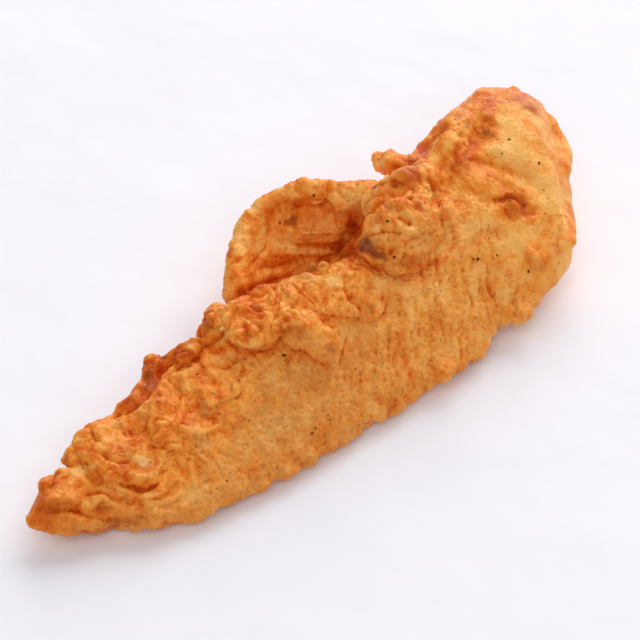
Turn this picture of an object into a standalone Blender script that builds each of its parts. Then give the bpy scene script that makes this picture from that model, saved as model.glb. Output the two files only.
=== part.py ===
"""A fried chicken tender: one strip of breast in a craggy batter crust, lying on a flat surface.

The strip runs along X, from its pointed tip at -X to its broad head at +X. Its front, the long
smooth slope, faces -Y. Behind the ridge a flap of crust curls up and leaves a pocket. All of it is
one solid: overlapping forms are fused into one skin, the skin gets the relief of the batter, and
its underside is cut level where it rests.
"""

import itertools

import bmesh
import bpy
import numpy as np
from mathutils import Matrix

MM = 0.001  # the sizes below are in millimetres

# The strip: its two ends, and how far from each end it rounds off.
TIP_X, HEAD_X = -73.5, 77.0
TIP_ROUNDING, HEAD_ROUNDING = 8.0, 9.0

# Guide lines along the strip, each as (x, value) pairs.
FRONT_EDGE = ((-74, -5.5), (-66, -11), (-58, -15), (-50, -19.5), (-36, -24), (-12, -25.2), (14, -25.4),
              (26, -24.8), (34, -23.2), (44, -24), (56, -20.5), (66, -9.5), (76, 3.5))
RIDGE = ((-74, -3), (-48, -2), (-18, 5), (-6, 2.5), (6, 0), (36, -1), (56, 4), (76, 11))
BACK_EDGE = ((-74, -1), (-66, 1), (-56, 3), (-46, 5.5), (-32, 8), (-6, 9), (24, 12), (46, 15.5),
             (58, 21), (68, 21.5), (76, 17))
RIDGE_HEIGHT = ((-74, 8), (-66, 9.5), (-56, 10.5), (-40, 13.5), (-18, 17.5), (0, 20.5), (30, 23),
                (48, 25.5), (66, 26), (76, 21))
EDGE_HEIGHT = ((-74, 6), (-56, 5), (-48, 4), (-20, 3.2), (12, 3.2), (40, 6), (64, 11), (76, 13))
UNDERSIDE = ((-74, 5), (-66, 2.5), (-56, 1), (-40, 0.5), (40, 0.5), (56, 2), (66, 5), (76, 9))

# The flap behind the ridge: a bowl of crust whose rim is part of an ellipse, seen from above.
FLAP_CENTRE = (12.5, 9.5)
FLAP_REACH = (17.5, 16.0)
FLAP_ROOT_Y = 5.0
FLAP_TURN = (188.0, -6.0)  # degrees round the ellipse, from the tip's side to the head's
FLAP_RIM_HEIGHT = ((0, 12), (0.25, 15), (0.5, 17.5), (0.75, 18.5), (1, 19.5))
FLAP_ROOT_HEIGHT = 9.0
FLAP_SAG = 8.5
FLAP_THICKNESS = 4.2

# Rolls of batter, each a path of (x, y, z) points and the radius at each of them.
ROLLS = {
    "fold_lump": (((16, -1, 21), (20, -1, 22), (26, -3, 22.5), (31, -3, 22), (37, -1, 22)),
                  (4.0, 5.8, 6.0, 5.6, 4.5)),
    "fold_back": (((24, 9, 18), (29, 6, 22), (36, 3, 24), (42, 4, 24)), (3.0, 4.2, 4.6, 3.5)),
    "nub": (((35.6, 17.2, 20.4), (37.8, 14.4, 20.6), (40, 12, 20.8), (44, 9, 21)), (2.8, 2.4, 2.6, 3.8)),
    "nub_knob": (((34.6, 19, 20.2), (35.8, 17.8, 20.4)), (3.4, 3.4)),
    "head_fin": (((42, 13.5, 11.5), (47, 16.5, 13.5), (53, 19, 15), (58, 19.5, 17)),
                 (2.2, 2.6, 2.7, 2.4)),
    "tongue": (((-7, -3, 18), (-6.5, -8, 16), (-5.4, -12, 13.6), (-4.6, -14.5, 12)),
               (3.8, 3.4, 2.6, 1.4)),
    "rim_left": (((-3, 13.5, 10.5), (-1.5, 18, 12.5), (2, 22, 14.5), (7, 25, 16)), (2.2, 3.3, 3.2, 2.4)),
    "rim_top": (((9, 26, 16.4), (15, 24, 17.5), (20, 22.2, 18.2), (24.5, 20.5, 18.6)), (2.8, 2.0, 2.8, 3.2)),
    "rim_right": (((23, 18.5, 18), (26.5, 14, 18.5), (30, 10.5, 20)), (2.4, 2.9, 2.8)),
    "edge_lobe_a": (((-56, -13.5, 3), (-53, -16.8, 2.6), (-50, -17.5, 3.2)), (1.8, 2.6, 2.0)),
    "edge_lobe_b": (((-49, -18.5, 3.4), (-46.5, -19.6, 3), (-44, -19.5, 3.6)), (1.6, 2.2, 1.8)),
}

# Knobs along the back edge, from the tip to the flap, each as (x, y, z, radius).
KNOBS = ((-65.5, 1.5, 7.5, 2.2), (-60, 1.8, 9.2, 2.0), (-55.5, 3, 9.6, 2.3), (-50.5, 4.2, 9.4, 2.5),
         (-45.5, 4.4, 9.8, 2.2), (-41, 5, 10, 2.4), (-37, 6.6, 9.8, 2.4), (-33.8, 8.8, 10.4, 2.6),
         (-30, 9.2, 11.2, 2.4), (-26.5, 8, 11.8, 2.6), (-23, 7.4, 12.4, 2.5), (-20.2, 8.9, 12.6, 2.3),
         (-17, 9.9, 13, 2.6), (-13.5, 10, 13.6, 2.3), (5.8, -1, 21.5, 1.6))

# Lips: raised sheets of batter that end in a small cliff. The sheet is on the left of its path.
# Each is (height, overhang, how far the sheet takes to sink back, path of (x, y) points).
LIPS = {
    "back_sheet": (3.2, 1.2, 6, ((-22, 4.5), (-20, 1), (-17.5, -2.5), (-14, -5), (-10.5, -6))),
    "tongue_edge": (2.4, 1.4, 3, ((-10.5, -4), (-10, -8), (-7.5, -11.3), (-4.8, -14.8))),
    "ridge_sheet": (3.2, 1.4, 7, ((-3.5, -1), (-2.6, -4.5), (0, -7.3), (4.5, -10.5), (9, -12.6))),
    "mid_sheet": (2.0, 0.8, 6, ((-30, -1), (-27.5, -5), (-24, -8.6), (-20, -9.5))),
    "swirl_sheet": (2.2, 0.9, 6, ((-45, -3), (-42, -8.5), (-38, -11.5), (-33, -12))),
    "notch_sheet": (2.6, 1.2, 6, ((-60.5, 4), (-58, -1), (-57.4, -6), (-55, -11.5), (-52, -14.5))),
}

# Furrows (below nought) and ridges, each as (height, half-width, path of (x, y) points).
MARKS = {
    "notch": (-1.8, 1.2, ((-61, 4.5), (-59, 0), (-58.3, -5), (-56.8, -9.5))),
    "lump_crease": (-2.0, 1.4, ((13.5, 1), (13, -3.5), (16.5, -8), (21, -10.5), (26, -9.5), (31, -8))),
    "saddle": (-2.2, 3.0, ((35, -6), (38.5, -2), (41, 4), (43, 10))),
    "head_valley": (-1.8, 2.0, ((46, 4), (53, 8), (61, 12))),
    "head_ridge": (1.6, 2.0, ((44, 9), (50, 11.5), (55, 12.5))),
    "head_step": (-1.8, 1.8, ((45, 1), (50, -1.5), (54, -7), (56, -10))),
    "crater": (-2.0, 1.7, ((46, -10), (49, -12.2))),
    "crater_lip": (1.6, 1.0, ((44.5, -8), (48, -9), (50.5, -11))),
    "pocket_fold": (-1.2, 1.2, ((8, 20.5), (13, 21.5), (18, 19.5), (23, 16))),
    "tip_ridge": (0.9, 1.6, ((-71, -2.5), (-67, -3), (-63.5, -3.5))),
    "tip_lump": (1.3, 1.8, ((-61.5, -9.5), (-59.5, -11.3), (-57.5, -12.5))),
    "tip_crease": (-0.9, 0.8, ((-64, -9), (-63.5, -11), (-60.5, -13.5))),
    "brown_lump": (0.9, 3.0, ((43.5, -19), (46, -18.5))),
}

# The batter's own unevenness: how craggy it is across the slope, from the front edge to the back.
CRAG_START = ((-75, 0.1), (-55, 0.15), (-40, 0.35), (-25, 0.55), (0, 0.7), (15, 0.85), (76, 1.0))
TERRACE_WAVE, TERRACE_HEIGHT = 8.5, 1.5
LUMP_WAVE, LUMP_HEIGHT = 4.2, 0.55
SMOOTH_SHARE = 0.22
FRILL_WAVE, FRILL_HEIGHT = 4.5, 1.1

VOXEL = 0.8
BLEND_ROUNDS = 5
TRIANGLES = 11400
LEVEL = 0.0  # the underside is cut here
CRUST_COLOUR = (0.63, 0.25, 0.045, 1.0)
CRUST_ROUGHNESS = 0.5


def smooth_line(pairs, at):
    """The smooth curve through (place, value) pairs, read at the places in at."""
    knots, values = np.array(pairs, float).T
    slopes = np.gradient(values, knots)
    i = np.clip(np.searchsorted(knots, at) - 1, 0, len(knots) - 2)
    span = knots[i + 1] - knots[i]
    t = np.clip((at - knots[i]) / span, 0, 1)
    return ((2 * t**3 - 3 * t**2 + 1) * values[i] + (t**3 - 2 * t**2 + t) * span * slopes[i]
            + (3 * t**2 - 2 * t**3) * values[i + 1] + (t**3 - t**2) * span * slopes[i + 1])


def smooth_path(points, steps):
    """The smooth path through the points, as steps points evenly along them."""
    knots = np.linspace(0, 1, len(points))
    at = np.linspace(0, 1, steps)
    return np.stack([smooth_line(list(zip(knots, axis)), at) for axis in zip(*points)], axis=1)


def ramp(value, low, high):
    """0 below low, 1 above high, and a smooth rise between."""
    t = np.clip((value - low) / (high - low), 0, 1)
    return t * t * (3 - 2 * t)


def noise(points, wave, seed):
    """Gradient noise of about -1 to 1 at the points, with bumps about one wave apart."""
    rng = np.random.default_rng(seed)
    order = rng.permutation(256)
    slopes = rng.normal(size=(256, 3))
    slopes /= np.linalg.norm(slopes, axis=1, keepdims=True)
    place = points / wave
    cell = np.floor(place).astype(int)
    inside = place - cell
    fade = inside**3 * (inside * (inside * 6 - 15) + 10)
    total = np.zeros(len(points))
    for corner in itertools.product((0, 1), repeat=3):
        x, y, z = ((cell + corner) & 255).T
        slope = slopes[order[(order[(order[x] + y) & 255] + z) & 255]]
        weight = np.where(corner, fade, 1 - fade).prod(axis=1)
        total += weight * (slope * (inside - corner)).sum(axis=1)
    return 1.5 * total


def terraces(points, seed):
    """Flat-topped sheets with soft cliffs between them, as batter sets in layers, about -1 to 1."""
    bend = np.stack([noise(points, 11, seed + k) for k in (1, 2, 3)], axis=1)
    level = 1.7 * (noise(points + 3.5 * bend, TERRACE_WAVE, seed) + 0.35 * noise(points, 5, seed + 4))
    step = np.floor(level)
    return (step + ramp(level - step, 0.55, 0.95)) / 1.7


def closed_curve(corners, count):
    """Rings of count points on the smooth closed curves through corners, an array (rings, corners, 2)."""
    turn = np.arange(count) * corners.shape[1] / count
    i, f = turn.astype(int), (turn % 1)[None, :, None]
    before, here, after, beyond = (corners[:, (i + d) % corners.shape[1]] for d in (-1, 0, 1, 2))
    return 0.5 * (2 * here + (after - before) * f
                  + (2 * before - 5 * here + 4 * after - beyond) * f**2
                  + (3 * here - before - 3 * after + beyond) * f**3)


def strip_rings(rings=180, around=96):
    """The strip's cross-sections: a long front slope, a ridge, a short back and a flat underside."""
    x = (TIP_X + HEAD_X - (HEAD_X - TIP_X) * np.cos(np.linspace(0, np.pi, rings))) / 2
    front, ridge, back, top, edge, under = (
        smooth_line(guide, x)
        for guide in (FRONT_EDGE, RIDGE, BACK_EDGE, RIDGE_HEIGHT, EDGE_HEIGHT, UNDERSIDE)
    )
    slope, width, rise = ridge - front, back - front, top - edge
    corners = np.stack([
        [front, edge],
        [front + 0.30 * slope, edge + 0.46 * rise],
        [front + 0.68 * slope, edge + 0.85 * rise],
        [ridge, top],
        [ridge + 0.62 * (back - ridge), edge + 0.78 * rise],
        [back, edge + 0.25 * rise],
        [back - 0.22 * width, under],
        [front + 0.45 * width, under],
        [front + 0.14 * width, under],
    ]).transpose(2, 0, 1)
    section = closed_curve(corners, around)
    middle = section.mean(axis=1, keepdims=True)
    from_tip = np.clip((x - TIP_X) / TIP_ROUNDING, 0, 1)
    from_head = np.clip((HEAD_X - x) / HEAD_ROUNDING, 0, 1)
    share = np.sqrt(1 - (1 - from_tip) ** 2) * np.sqrt(1 - (1 - from_head) ** 2)
    section = middle + (section - middle) * share[:, None, None]
    along = np.broadcast_to(x[:, None, None], (rings, around, 1))
    return np.concatenate([along, section], axis=2)[1:-1]


def linked(name, data):
    obj = bpy.data.objects.new(name, data)
    bpy.context.scene.collection.objects.link(obj)
    return obj


def mesh_object(name, bm):
    mesh = bpy.data.meshes.new(name)
    bm.to_mesh(mesh)
    bm.free()
    return linked(name, mesh)


def strip():
    """The strip's rings joined into one closed mesh, with a fan at each end."""
    bm = bmesh.new()
    loops = [[bm.verts.new(point) for point in ring] for ring in strip_rings()]
    for a, b in zip(loops, loops[1:]):
        for j in range(len(a)):
            k = (j + 1) % len(a)
            bm.faces.new((a[j], a[k], b[k], b[j]))
    bm.faces.new(reversed(loops[0]))
    bm.faces.new(loops[-1])
    bmesh.ops.triangulate(bm, faces=[face for face in bm.faces if len(face.verts) > 4])
    bmesh.ops.recalc_face_normals(bm, faces=bm.faces)
    return mesh_object("strip", bm)


def flap(columns=90, rows=28):
    """The curled flap: a bowl-shaped grid from the strip's back to the rim, thickened."""
    s, t = np.linspace(0, 1, columns)[:, None], np.linspace(0, 1, rows)[None, :]
    angle = np.radians(FLAP_TURN[0] + (FLAP_TURN[1] - FLAP_TURN[0]) * s)
    rim_x = FLAP_CENTRE[0] + FLAP_REACH[0] * np.cos(angle)
    rim_y = FLAP_CENTRE[1] + FLAP_REACH[1] * np.sin(angle)
    rim_z = smooth_line(FLAP_RIM_HEIGHT, s)
    x = FLAP_CENTRE[0] + (rim_x - FLAP_CENTRE[0]) * (0.8 + 0.2 * t)
    y = FLAP_ROOT_Y + (rim_y - FLAP_ROOT_Y) * t
    sag = 4 * FLAP_SAG * t * (1 - t) * np.sqrt(np.sin(np.pi * s))
    z = np.maximum(FLAP_ROOT_HEIGHT + (rim_z - FLAP_ROOT_HEIGHT) * t**2 - sag, FLAP_THICKNESS / 2)
    bm = bmesh.new()
    grid = [[bm.verts.new((x[i, j], y[i, j], z[i, j])) for j in range(rows)] for i in range(columns)]
    for a, b in zip(grid, grid[1:]):
        for j in range(rows - 1):
            bm.faces.new((a[j], a[j + 1], b[j + 1], b[j]))
    obj = mesh_object("flap", bm)
    wall = obj.modifiers.new("wall", "SOLIDIFY")
    wall.thickness = FLAP_THICKNESS
    wall.offset = 0
    return obj


def roll(name, points, radii):
    """A round-ended roll of batter along a smooth path, with its own radius at each point."""
    curve = bpy.data.curves.new(name, "CURVE")
    curve.dimensions = "3D"
    curve.bevel_depth = 1
    curve.bevel_resolution = 6
    curve.use_fill_caps = True
    path = smooth_path([(*point, radius) for point, radius in zip(points, radii)], 40)
    length = np.linalg.norm(np.diff(path[:, :3], axis=0), axis=1).sum()
    along = np.linspace(-1, 1, 40)
    reach = np.clip((1 - np.abs(along)) * length / (2 * path[:, 3]), 0.0005, 1)
    radius = path[:, 3] * np.sqrt(1 - (1 - reach) ** 2)
    spline = curve.splines.new("POLY")
    spline.points.add(len(path) - 1)
    for point, place, size in zip(spline.points, path[:, :3], radius):
        point.co = (*place, 1)
        point.radius = size
    return linked(name, curve)


def knob(x, y, z, radius):
    bm = bmesh.new()
    bmesh.ops.create_icosphere(bm, subdivisions=3, radius=radius, matrix=Matrix.Translation((x, y, z)))
    return mesh_object("knob", bm)


def skinned(name, forms, rounds):
    """One skin round all the forms as a mesh object, evened out by some rounds of smoothing."""
    graph = bpy.context.evaluated_depsgraph_get()
    bm = bmesh.new()
    for form in forms:
        bm.from_mesh(bpy.data.meshes.new_from_object(form.evaluated_get(graph)))
        bpy.data.objects.remove(form)
    obj = mesh_object(name, bm)
    skin = obj.modifiers.new("skin", "REMESH")
    skin.mode = "VOXEL"
    skin.voxel_size = VOXEL
    even = obj.modifiers.new("even", "SMOOTH")
    even.iterations = rounds
    graph = bpy.context.evaluated_depsgraph_get()
    obj.data = bpy.data.meshes.new_from_object(obj.evaluated_get(graph))
    obj.modifiers.clear()
    return obj


def arrays(mesh):
    """The mesh's points and their normals."""
    points, normals = np.empty(3 * len(mesh.vertices)), np.empty(3 * len(mesh.vertices))
    mesh.vertices.foreach_get("co", points)
    mesh.vertices.foreach_get("normal", normals)
    return points.reshape(-1, 3), normals.reshape(-1, 3)


def beside(places, path):
    """Each place's distance to the left of the path, from above, and how far along it is, 0 to 1."""
    route = smooth_path(path, 40)
    start, run = route[:-1], np.diff(route, axis=0)
    off = places[:, None, :] - start
    share = np.clip((off * run).sum(axis=2) / (run**2).sum(axis=1), 0, 1)
    miss = off - share[..., None] * run
    nearest = (miss**2).sum(axis=2).argmin(axis=1)
    row = np.arange(len(places))
    miss, run = miss[row, nearest], run[nearest]
    side = np.where(run[:, 0] * miss[:, 1] - run[:, 1] * miss[:, 0] >= 0, 1, -1)
    across = np.stack([run[:, 1], -run[:, 0]], axis=1) / np.linalg.norm(run, axis=1, keepdims=True)
    return side * np.hypot(*miss.T), (nearest + share[row, nearest]) / len(run), across


def strokes(points, normals):
    """How far the lips, furrows and ridges move each point, as an array of 3-D steps."""
    faces_up = ramp(normals[:, 2], -0.2, 0.25)[:, None]
    step = np.zeros_like(points)
    for height, overhang, fade, path in LIPS.values():
        left, along, across = beside(points[:, :2], path)
        taper = np.sin(np.pi * np.clip(along, 0.04, 0.96)) ** 0.6
        sheet = taper * height * ramp(left, -0.7, 0.9) * np.exp(-np.maximum(left, 0) / fade)
        # Past the path's ends the distance is to the end point, so the sheet also ends round.
        step += normals * (sheet * (np.abs(left) < 3 * fade))[:, None]
        step[:, :2] += across * (taper * overhang * np.exp(-((left - 0.6) / 0.9) ** 2))[:, None]
    for height, width, path in MARKS.values():
        left, along, _ = beside(points[:, :2], path)
        taper = np.sin(np.pi * np.clip(along, 0.08, 0.92)) ** 0.5
        step += normals * (taper * height * np.exp(-((left / width) ** 2)))[:, None]
    return step * faces_up


def crags(points, normals):
    """How far the batter's own unevenness moves each point along its normal."""
    x, y, z = points.T
    front, ridge = smooth_line(FRONT_EDGE, x), smooth_line(RIDGE, x)
    across = (y - front) / (ridge - front)
    start = smooth_line(CRAG_START, x)
    craggy = SMOOTH_SHARE + (1 - SMOOTH_SHARE) * ramp(across, start - 0.12, start + 0.12)
    craggy = np.where(normals[:, 2] < 0, np.minimum(craggy, 0.6), craggy)
    sheets = TERRACE_HEIGHT * terraces(points, 20)
    lumps = LUMP_HEIGHT * (1 - 2 * np.abs(noise(points, LUMP_WAVE, 31)))
    at_edge = np.exp(-(((z - 3.2) / 2.2) ** 2)) * ramp(-normals[:, 1], 0.1, 0.6)
    frill = FRILL_HEIGHT * at_edge * noise(points * (1, 1, 0.2), FRILL_WAVE, 47)
    return craggy * (sheets + lumps) + frill


def keep_largest_body(mesh):
    """Drops specks that the skin cut off."""
    bm = bmesh.new()
    bm.from_mesh(mesh)
    todo, bodies = set(bm.verts), []
    while todo:
        body, edge = set(), [next(iter(todo))]
        while edge:
            vert = edge.pop()
            if vert not in body:
                body.add(vert)
                edge.extend(link.other_vert(vert) for link in vert.link_edges)
        todo -= body
        bodies.append(body)
    largest = max(bodies, key=len)
    bmesh.ops.delete(bm, geom=[vert for body in bodies if body is not largest for vert in body])
    bm.to_mesh(mesh)
    bm.free()


def level_underside(mesh, near):
    """Moves what is below the resting level, or within near of it, onto that level."""
    points, _ = arrays(mesh)
    points[:, 2] = np.where(points[:, 2] < LEVEL + near, LEVEL, points[:, 2])
    mesh.vertices.foreach_set("co", points.ravel())


def centre_on_origin(mesh):
    """Puts the middle of the mesh's length and width over the origin."""
    points, _ = arrays(mesh)
    middle = (points.min(axis=0) + points.max(axis=0)) / 2
    mesh.transform(Matrix.Translation((-middle[0], -middle[1], 0)))


def crust_material():
    """Fried batter: golden orange-brown, half matt with a little oil."""
    material = bpy.data.materials.new("fried_crust")
    material.use_nodes = True
    shader = material.node_tree.nodes["Principled BSDF"]
    shader.inputs["Base Color"].default_value = CRUST_COLOUR
    shader.inputs["Roughness"].default_value = CRUST_ROUGHNESS
    return material


def main():
    for obj in list(bpy.data.objects):
        bpy.data.objects.remove(obj)
    forms = [strip(), flap()]
    forms += [roll(name, *sizes) for name, sizes in ROLLS.items()]
    forms += [knob(*sizes) for sizes in KNOBS]
    tender = skinned("tender", forms, BLEND_ROUNDS)
    points, normals = arrays(tender.data)
    points += strokes(points, normals)
    tender.data.vertices.foreach_set("co", points.ravel())
    tender.data.update()
    points, normals = arrays(tender.data)
    points += normals * crags(points, normals)[:, None]
    tender.data.vertices.foreach_set("co", points.ravel())
    tender = skinned("tender", [tender], 1)
    keep_largest_body(tender.data)
    level_underside(tender.data, 0)
    fewer = tender.modifiers.new("fewer", "DECIMATE")
    fewer.ratio = TRIANGLES / (2 * len(tender.data.polygons))
    graph = bpy.context.evaluated_depsgraph_get()
    tender.data = bpy.data.meshes.new_from_object(tender.evaluated_get(graph))
    tender.modifiers.clear()
    level_underside(tender.data, 0.05)
    centre_on_origin(tender.data)
    tender.data.transform(Matrix.Scale(MM, 4))
    tender.data.shade_smooth()
    tender.data.materials.append(crust_material())


main()
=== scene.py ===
"""The looks of a fried chicken tender: its crust in full relief, its seasoning, and a plain studio.

The crust is built from the same forms as the solid that it replaces: a tapering strip, a curled
flap behind its ridge, rolls and knobs of batter, and sheets that end in small cliffs. They are
fused into one skin, and the skin gets the relief, the colours and the finish of fried batter.

All sizes are in millimetres in the strip's own frame: X from the pointed tip to the broad head, Y
towards the flap, Z up from the surface that it lies on. The function placed turns them into the
row's frame, in metres.
"""

from __future__ import annotations

import itertools
import logging
from dataclasses import dataclass
from enum import Enum

import bpy
import numpy as np
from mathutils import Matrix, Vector


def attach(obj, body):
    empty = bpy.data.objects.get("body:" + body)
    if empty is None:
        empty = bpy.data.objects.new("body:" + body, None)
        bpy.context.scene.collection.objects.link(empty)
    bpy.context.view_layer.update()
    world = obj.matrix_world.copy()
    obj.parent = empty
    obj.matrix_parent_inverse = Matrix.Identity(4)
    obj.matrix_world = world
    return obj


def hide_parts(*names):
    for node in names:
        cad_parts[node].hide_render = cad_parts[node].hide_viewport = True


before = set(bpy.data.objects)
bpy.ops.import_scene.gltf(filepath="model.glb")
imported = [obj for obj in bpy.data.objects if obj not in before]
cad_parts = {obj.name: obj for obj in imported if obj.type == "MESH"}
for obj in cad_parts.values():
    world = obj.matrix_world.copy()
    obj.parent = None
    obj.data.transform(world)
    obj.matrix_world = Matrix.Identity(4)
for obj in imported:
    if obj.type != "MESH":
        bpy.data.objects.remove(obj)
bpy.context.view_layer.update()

LOG = logging.getLogger("tender")
MM = 0.001
# The middle of the solid's length and width in the strip's own frame, which is the row's origin.
MIDDLE = (1.653, 0.930)
# After how many cells along each axis a noise repeats: a power of two.
GRID = 256

Array = np.ndarray
Span = tuple[float, float]
Place = tuple[float, float, float]
Pairs = tuple[Span, ...]
Points = tuple[tuple[float, ...], ...]
Tree = bpy.types.NodeTree
Socket = bpy.types.NodeSocket


def linear(code: str) -> tuple[float, ...]:
    """Turns a colour from sRGB hex to the linear values that Blender works in.

    Args:
        code: six hex digits, such as "E9A35B".

    Returns:
        Red, green, blue and an alpha of 1.
    """
    srgb = np.array([int(code[i:i + 2], 16) / 255 for i in (0, 2, 4)])
    value = np.where(srgb <= 0.04045, srgb / 12.92, ((srgb + 0.055) / 1.055) ** 2.4)
    return (*(float(v) for v in value), 1.0)


def ramp(value: Array, low: float, high: float) -> Array:
    """Rises smoothly from 0 at low to 1 at high, also where low is the larger of the two.

    The rise is the cubic 3t^2 - 2t^3, where t is how far value has come from low to high.

    Args:
        value: the values to read.
        low: where the rise starts. A number or an array like value.
        high: where it ends.

    Returns:
        An array like value, from 0 to 1.
    """
    t = np.clip((value - low) / (high - low), 0, 1)
    return t * t * (3 - 2 * t)


def bell(value: Array, width: float) -> Array:
    """A bell curve of value over width: 1 at nought, and about a third one width away."""
    return np.exp(-((value / width) ** 2))


def smooth_line(pairs: Pairs, at: Array) -> Array:
    """Reads the smooth curve through (place, value) pairs.

    Between two neighbours the curve is the cubic that meets both values with the slopes that
    central differences give there.

    Args:
        pairs: the (place, value) pairs, by rising place.
        at: the places to read.

    Returns:
        The values there. Outside the pairs the end values hold.
    """
    knots, values = np.array(pairs, float).T
    slopes = np.gradient(values, knots)
    i = np.clip(np.searchsorted(knots, at) - 1, 0, len(knots) - 2)
    span = knots[i + 1] - knots[i]
    t = np.clip((at - knots[i]) / span, 0, 1)
    return ((2 * t**3 - 3 * t**2 + 1) * values[i] + (t**3 - 2 * t**2 + t) * span * slopes[i]
            + (3 * t**2 - 2 * t**3) * values[i + 1] + (t**3 - t**2) * span * slopes[i + 1])


def smooth_path(points: Points, steps: int) -> Array:
    """The smooth path through the points.

    Each coordinate is the smooth curve through its own values at even steps.

    Args:
        points: the points to pass through, of any dimension.
        steps: how many points the result has.

    Returns:
        An array (steps, dimension).
    """
    knots = np.linspace(0, 1, len(points))
    at = np.linspace(0, 1, steps)
    return np.stack([smooth_line(tuple(zip(knots, axis)), at) for axis in zip(*points)], axis=1)


def picked(order: Array, cell: Array) -> Array:
    """Mixes each cell's three numbers on the grid into one random number below GRID."""
    x, y, z = (cell & (GRID - 1)).T
    return order[(order[(order[x] + y) & (GRID - 1)] + z) & (GRID - 1)]


@dataclass(frozen=True)
class Noise:
    """Gradient noise: random slopes on a grid, blended by a smooth fade between its corners.

    Its bumps lie about one wave apart, times the stretch along each axis. The bend is how far it
    moves places where they are to be made uneven. Both lengths are in millimetres.
    """

    wave: float
    seed: int
    stretch: Place = (1.0, 1.0, 1.0)
    bend: float = 0.0

    def at(self, points: Array) -> Array:
        """Reads the noise.

        Each grid corner has a random slope, and the noise is the sum over a cell's eight corners
        of slope times offset, weighted by the fade 6t^5 - 15t^4 + 10t^3.

        Args:
            points: places in millimetres, an array (n, 3).

        Returns:
            n values of about -1 to 1.
        """
        rng = np.random.default_rng(self.seed)
        order = rng.permutation(GRID)
        slopes = rng.normal(size=(GRID, 3))
        slopes /= np.linalg.norm(slopes, axis=1, keepdims=True)
        place = points / (self.wave * np.array(self.stretch))
        cell = np.floor(place).astype(int)
        inside = place - cell
        fade = inside**3 * (inside * (inside * 6 - 15) + 10)
        total = np.zeros(len(points))
        for corner in itertools.product((0, 1), repeat=3):
            slope = slopes[picked(order, cell + corner)]
            weight = np.where(corner, fade, 1 - fade).prod(axis=1)
            total += weight * (slope * (inside - corner)).sum(axis=1)
        # The sum reaches about two thirds, and this brings it to about one.
        return 1.5 * total

    def ridges(self, points: Array) -> Array:
        """Sharp crests where the noise crosses nought: 1 on a crest, down to about -1 between."""
        return 1 - 2 * np.abs(self.at(points))

    def bent(self, points: Array) -> Array:
        """The points, each moved by up to about the bend along three noises of this wave."""
        shifts = [Noise(self.wave, self.seed + k).at(points) for k in (1, 2, 3)]
        return points + self.bend * np.stack(shifts, axis=1)


@dataclass(frozen=True)
class Cells:
    """Cellular noise: each cell of a grid holds one random point, as blobs of batter sit."""

    wave: float
    seed: int
    # How steep a blob's dome is, and how deep and wide the crease round it is.
    dome: float = 2.2
    crease: float = 0.5
    crease_width: float = 0.22

    def at(self, points: Array) -> tuple[Array, Array]:
        """Reads the noise.

        Each place is measured to the random points of its own cell and of the 26 round it.

        Args:
            points: places in millimetres (n, 3).

        Returns:
            The distances to the nearest and to the second nearest, in cells.
        """
        rng = np.random.default_rng(self.seed)
        order = rng.permutation(GRID)
        spots = rng.random((GRID, 3))
        place = points / self.wave
        cell = np.floor(place).astype(int)
        # Further than any point of the cells that are looked at.
        first = np.full(len(points), 9.0)
        second = first.copy()
        for step in itertools.product((-1, 0, 1), repeat=3):
            spot = cell + step + spots[picked(order, cell + step)]
            gap = ((place - spot) ** 2).sum(axis=1)
            second = np.minimum(second, np.maximum(gap, first))
            first = np.minimum(first, gap)
        return np.sqrt(first), np.sqrt(second)

    def blobs(self, points: Array) -> Array:
        """Round blobs with sharp creases between them.

        A blob is a dome that falls with the distance squared, and a crease lies where the two
        nearest points are about as far away.

        Args:
            points: places in millimetres (n, 3).

        Returns:
            n values of about -1 to 1.
        """
        first, second = self.at(points)
        between = 1 - ramp(second - first, 0, self.crease_width)
        return 1 - self.dome * first**2 - self.crease * between


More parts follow.
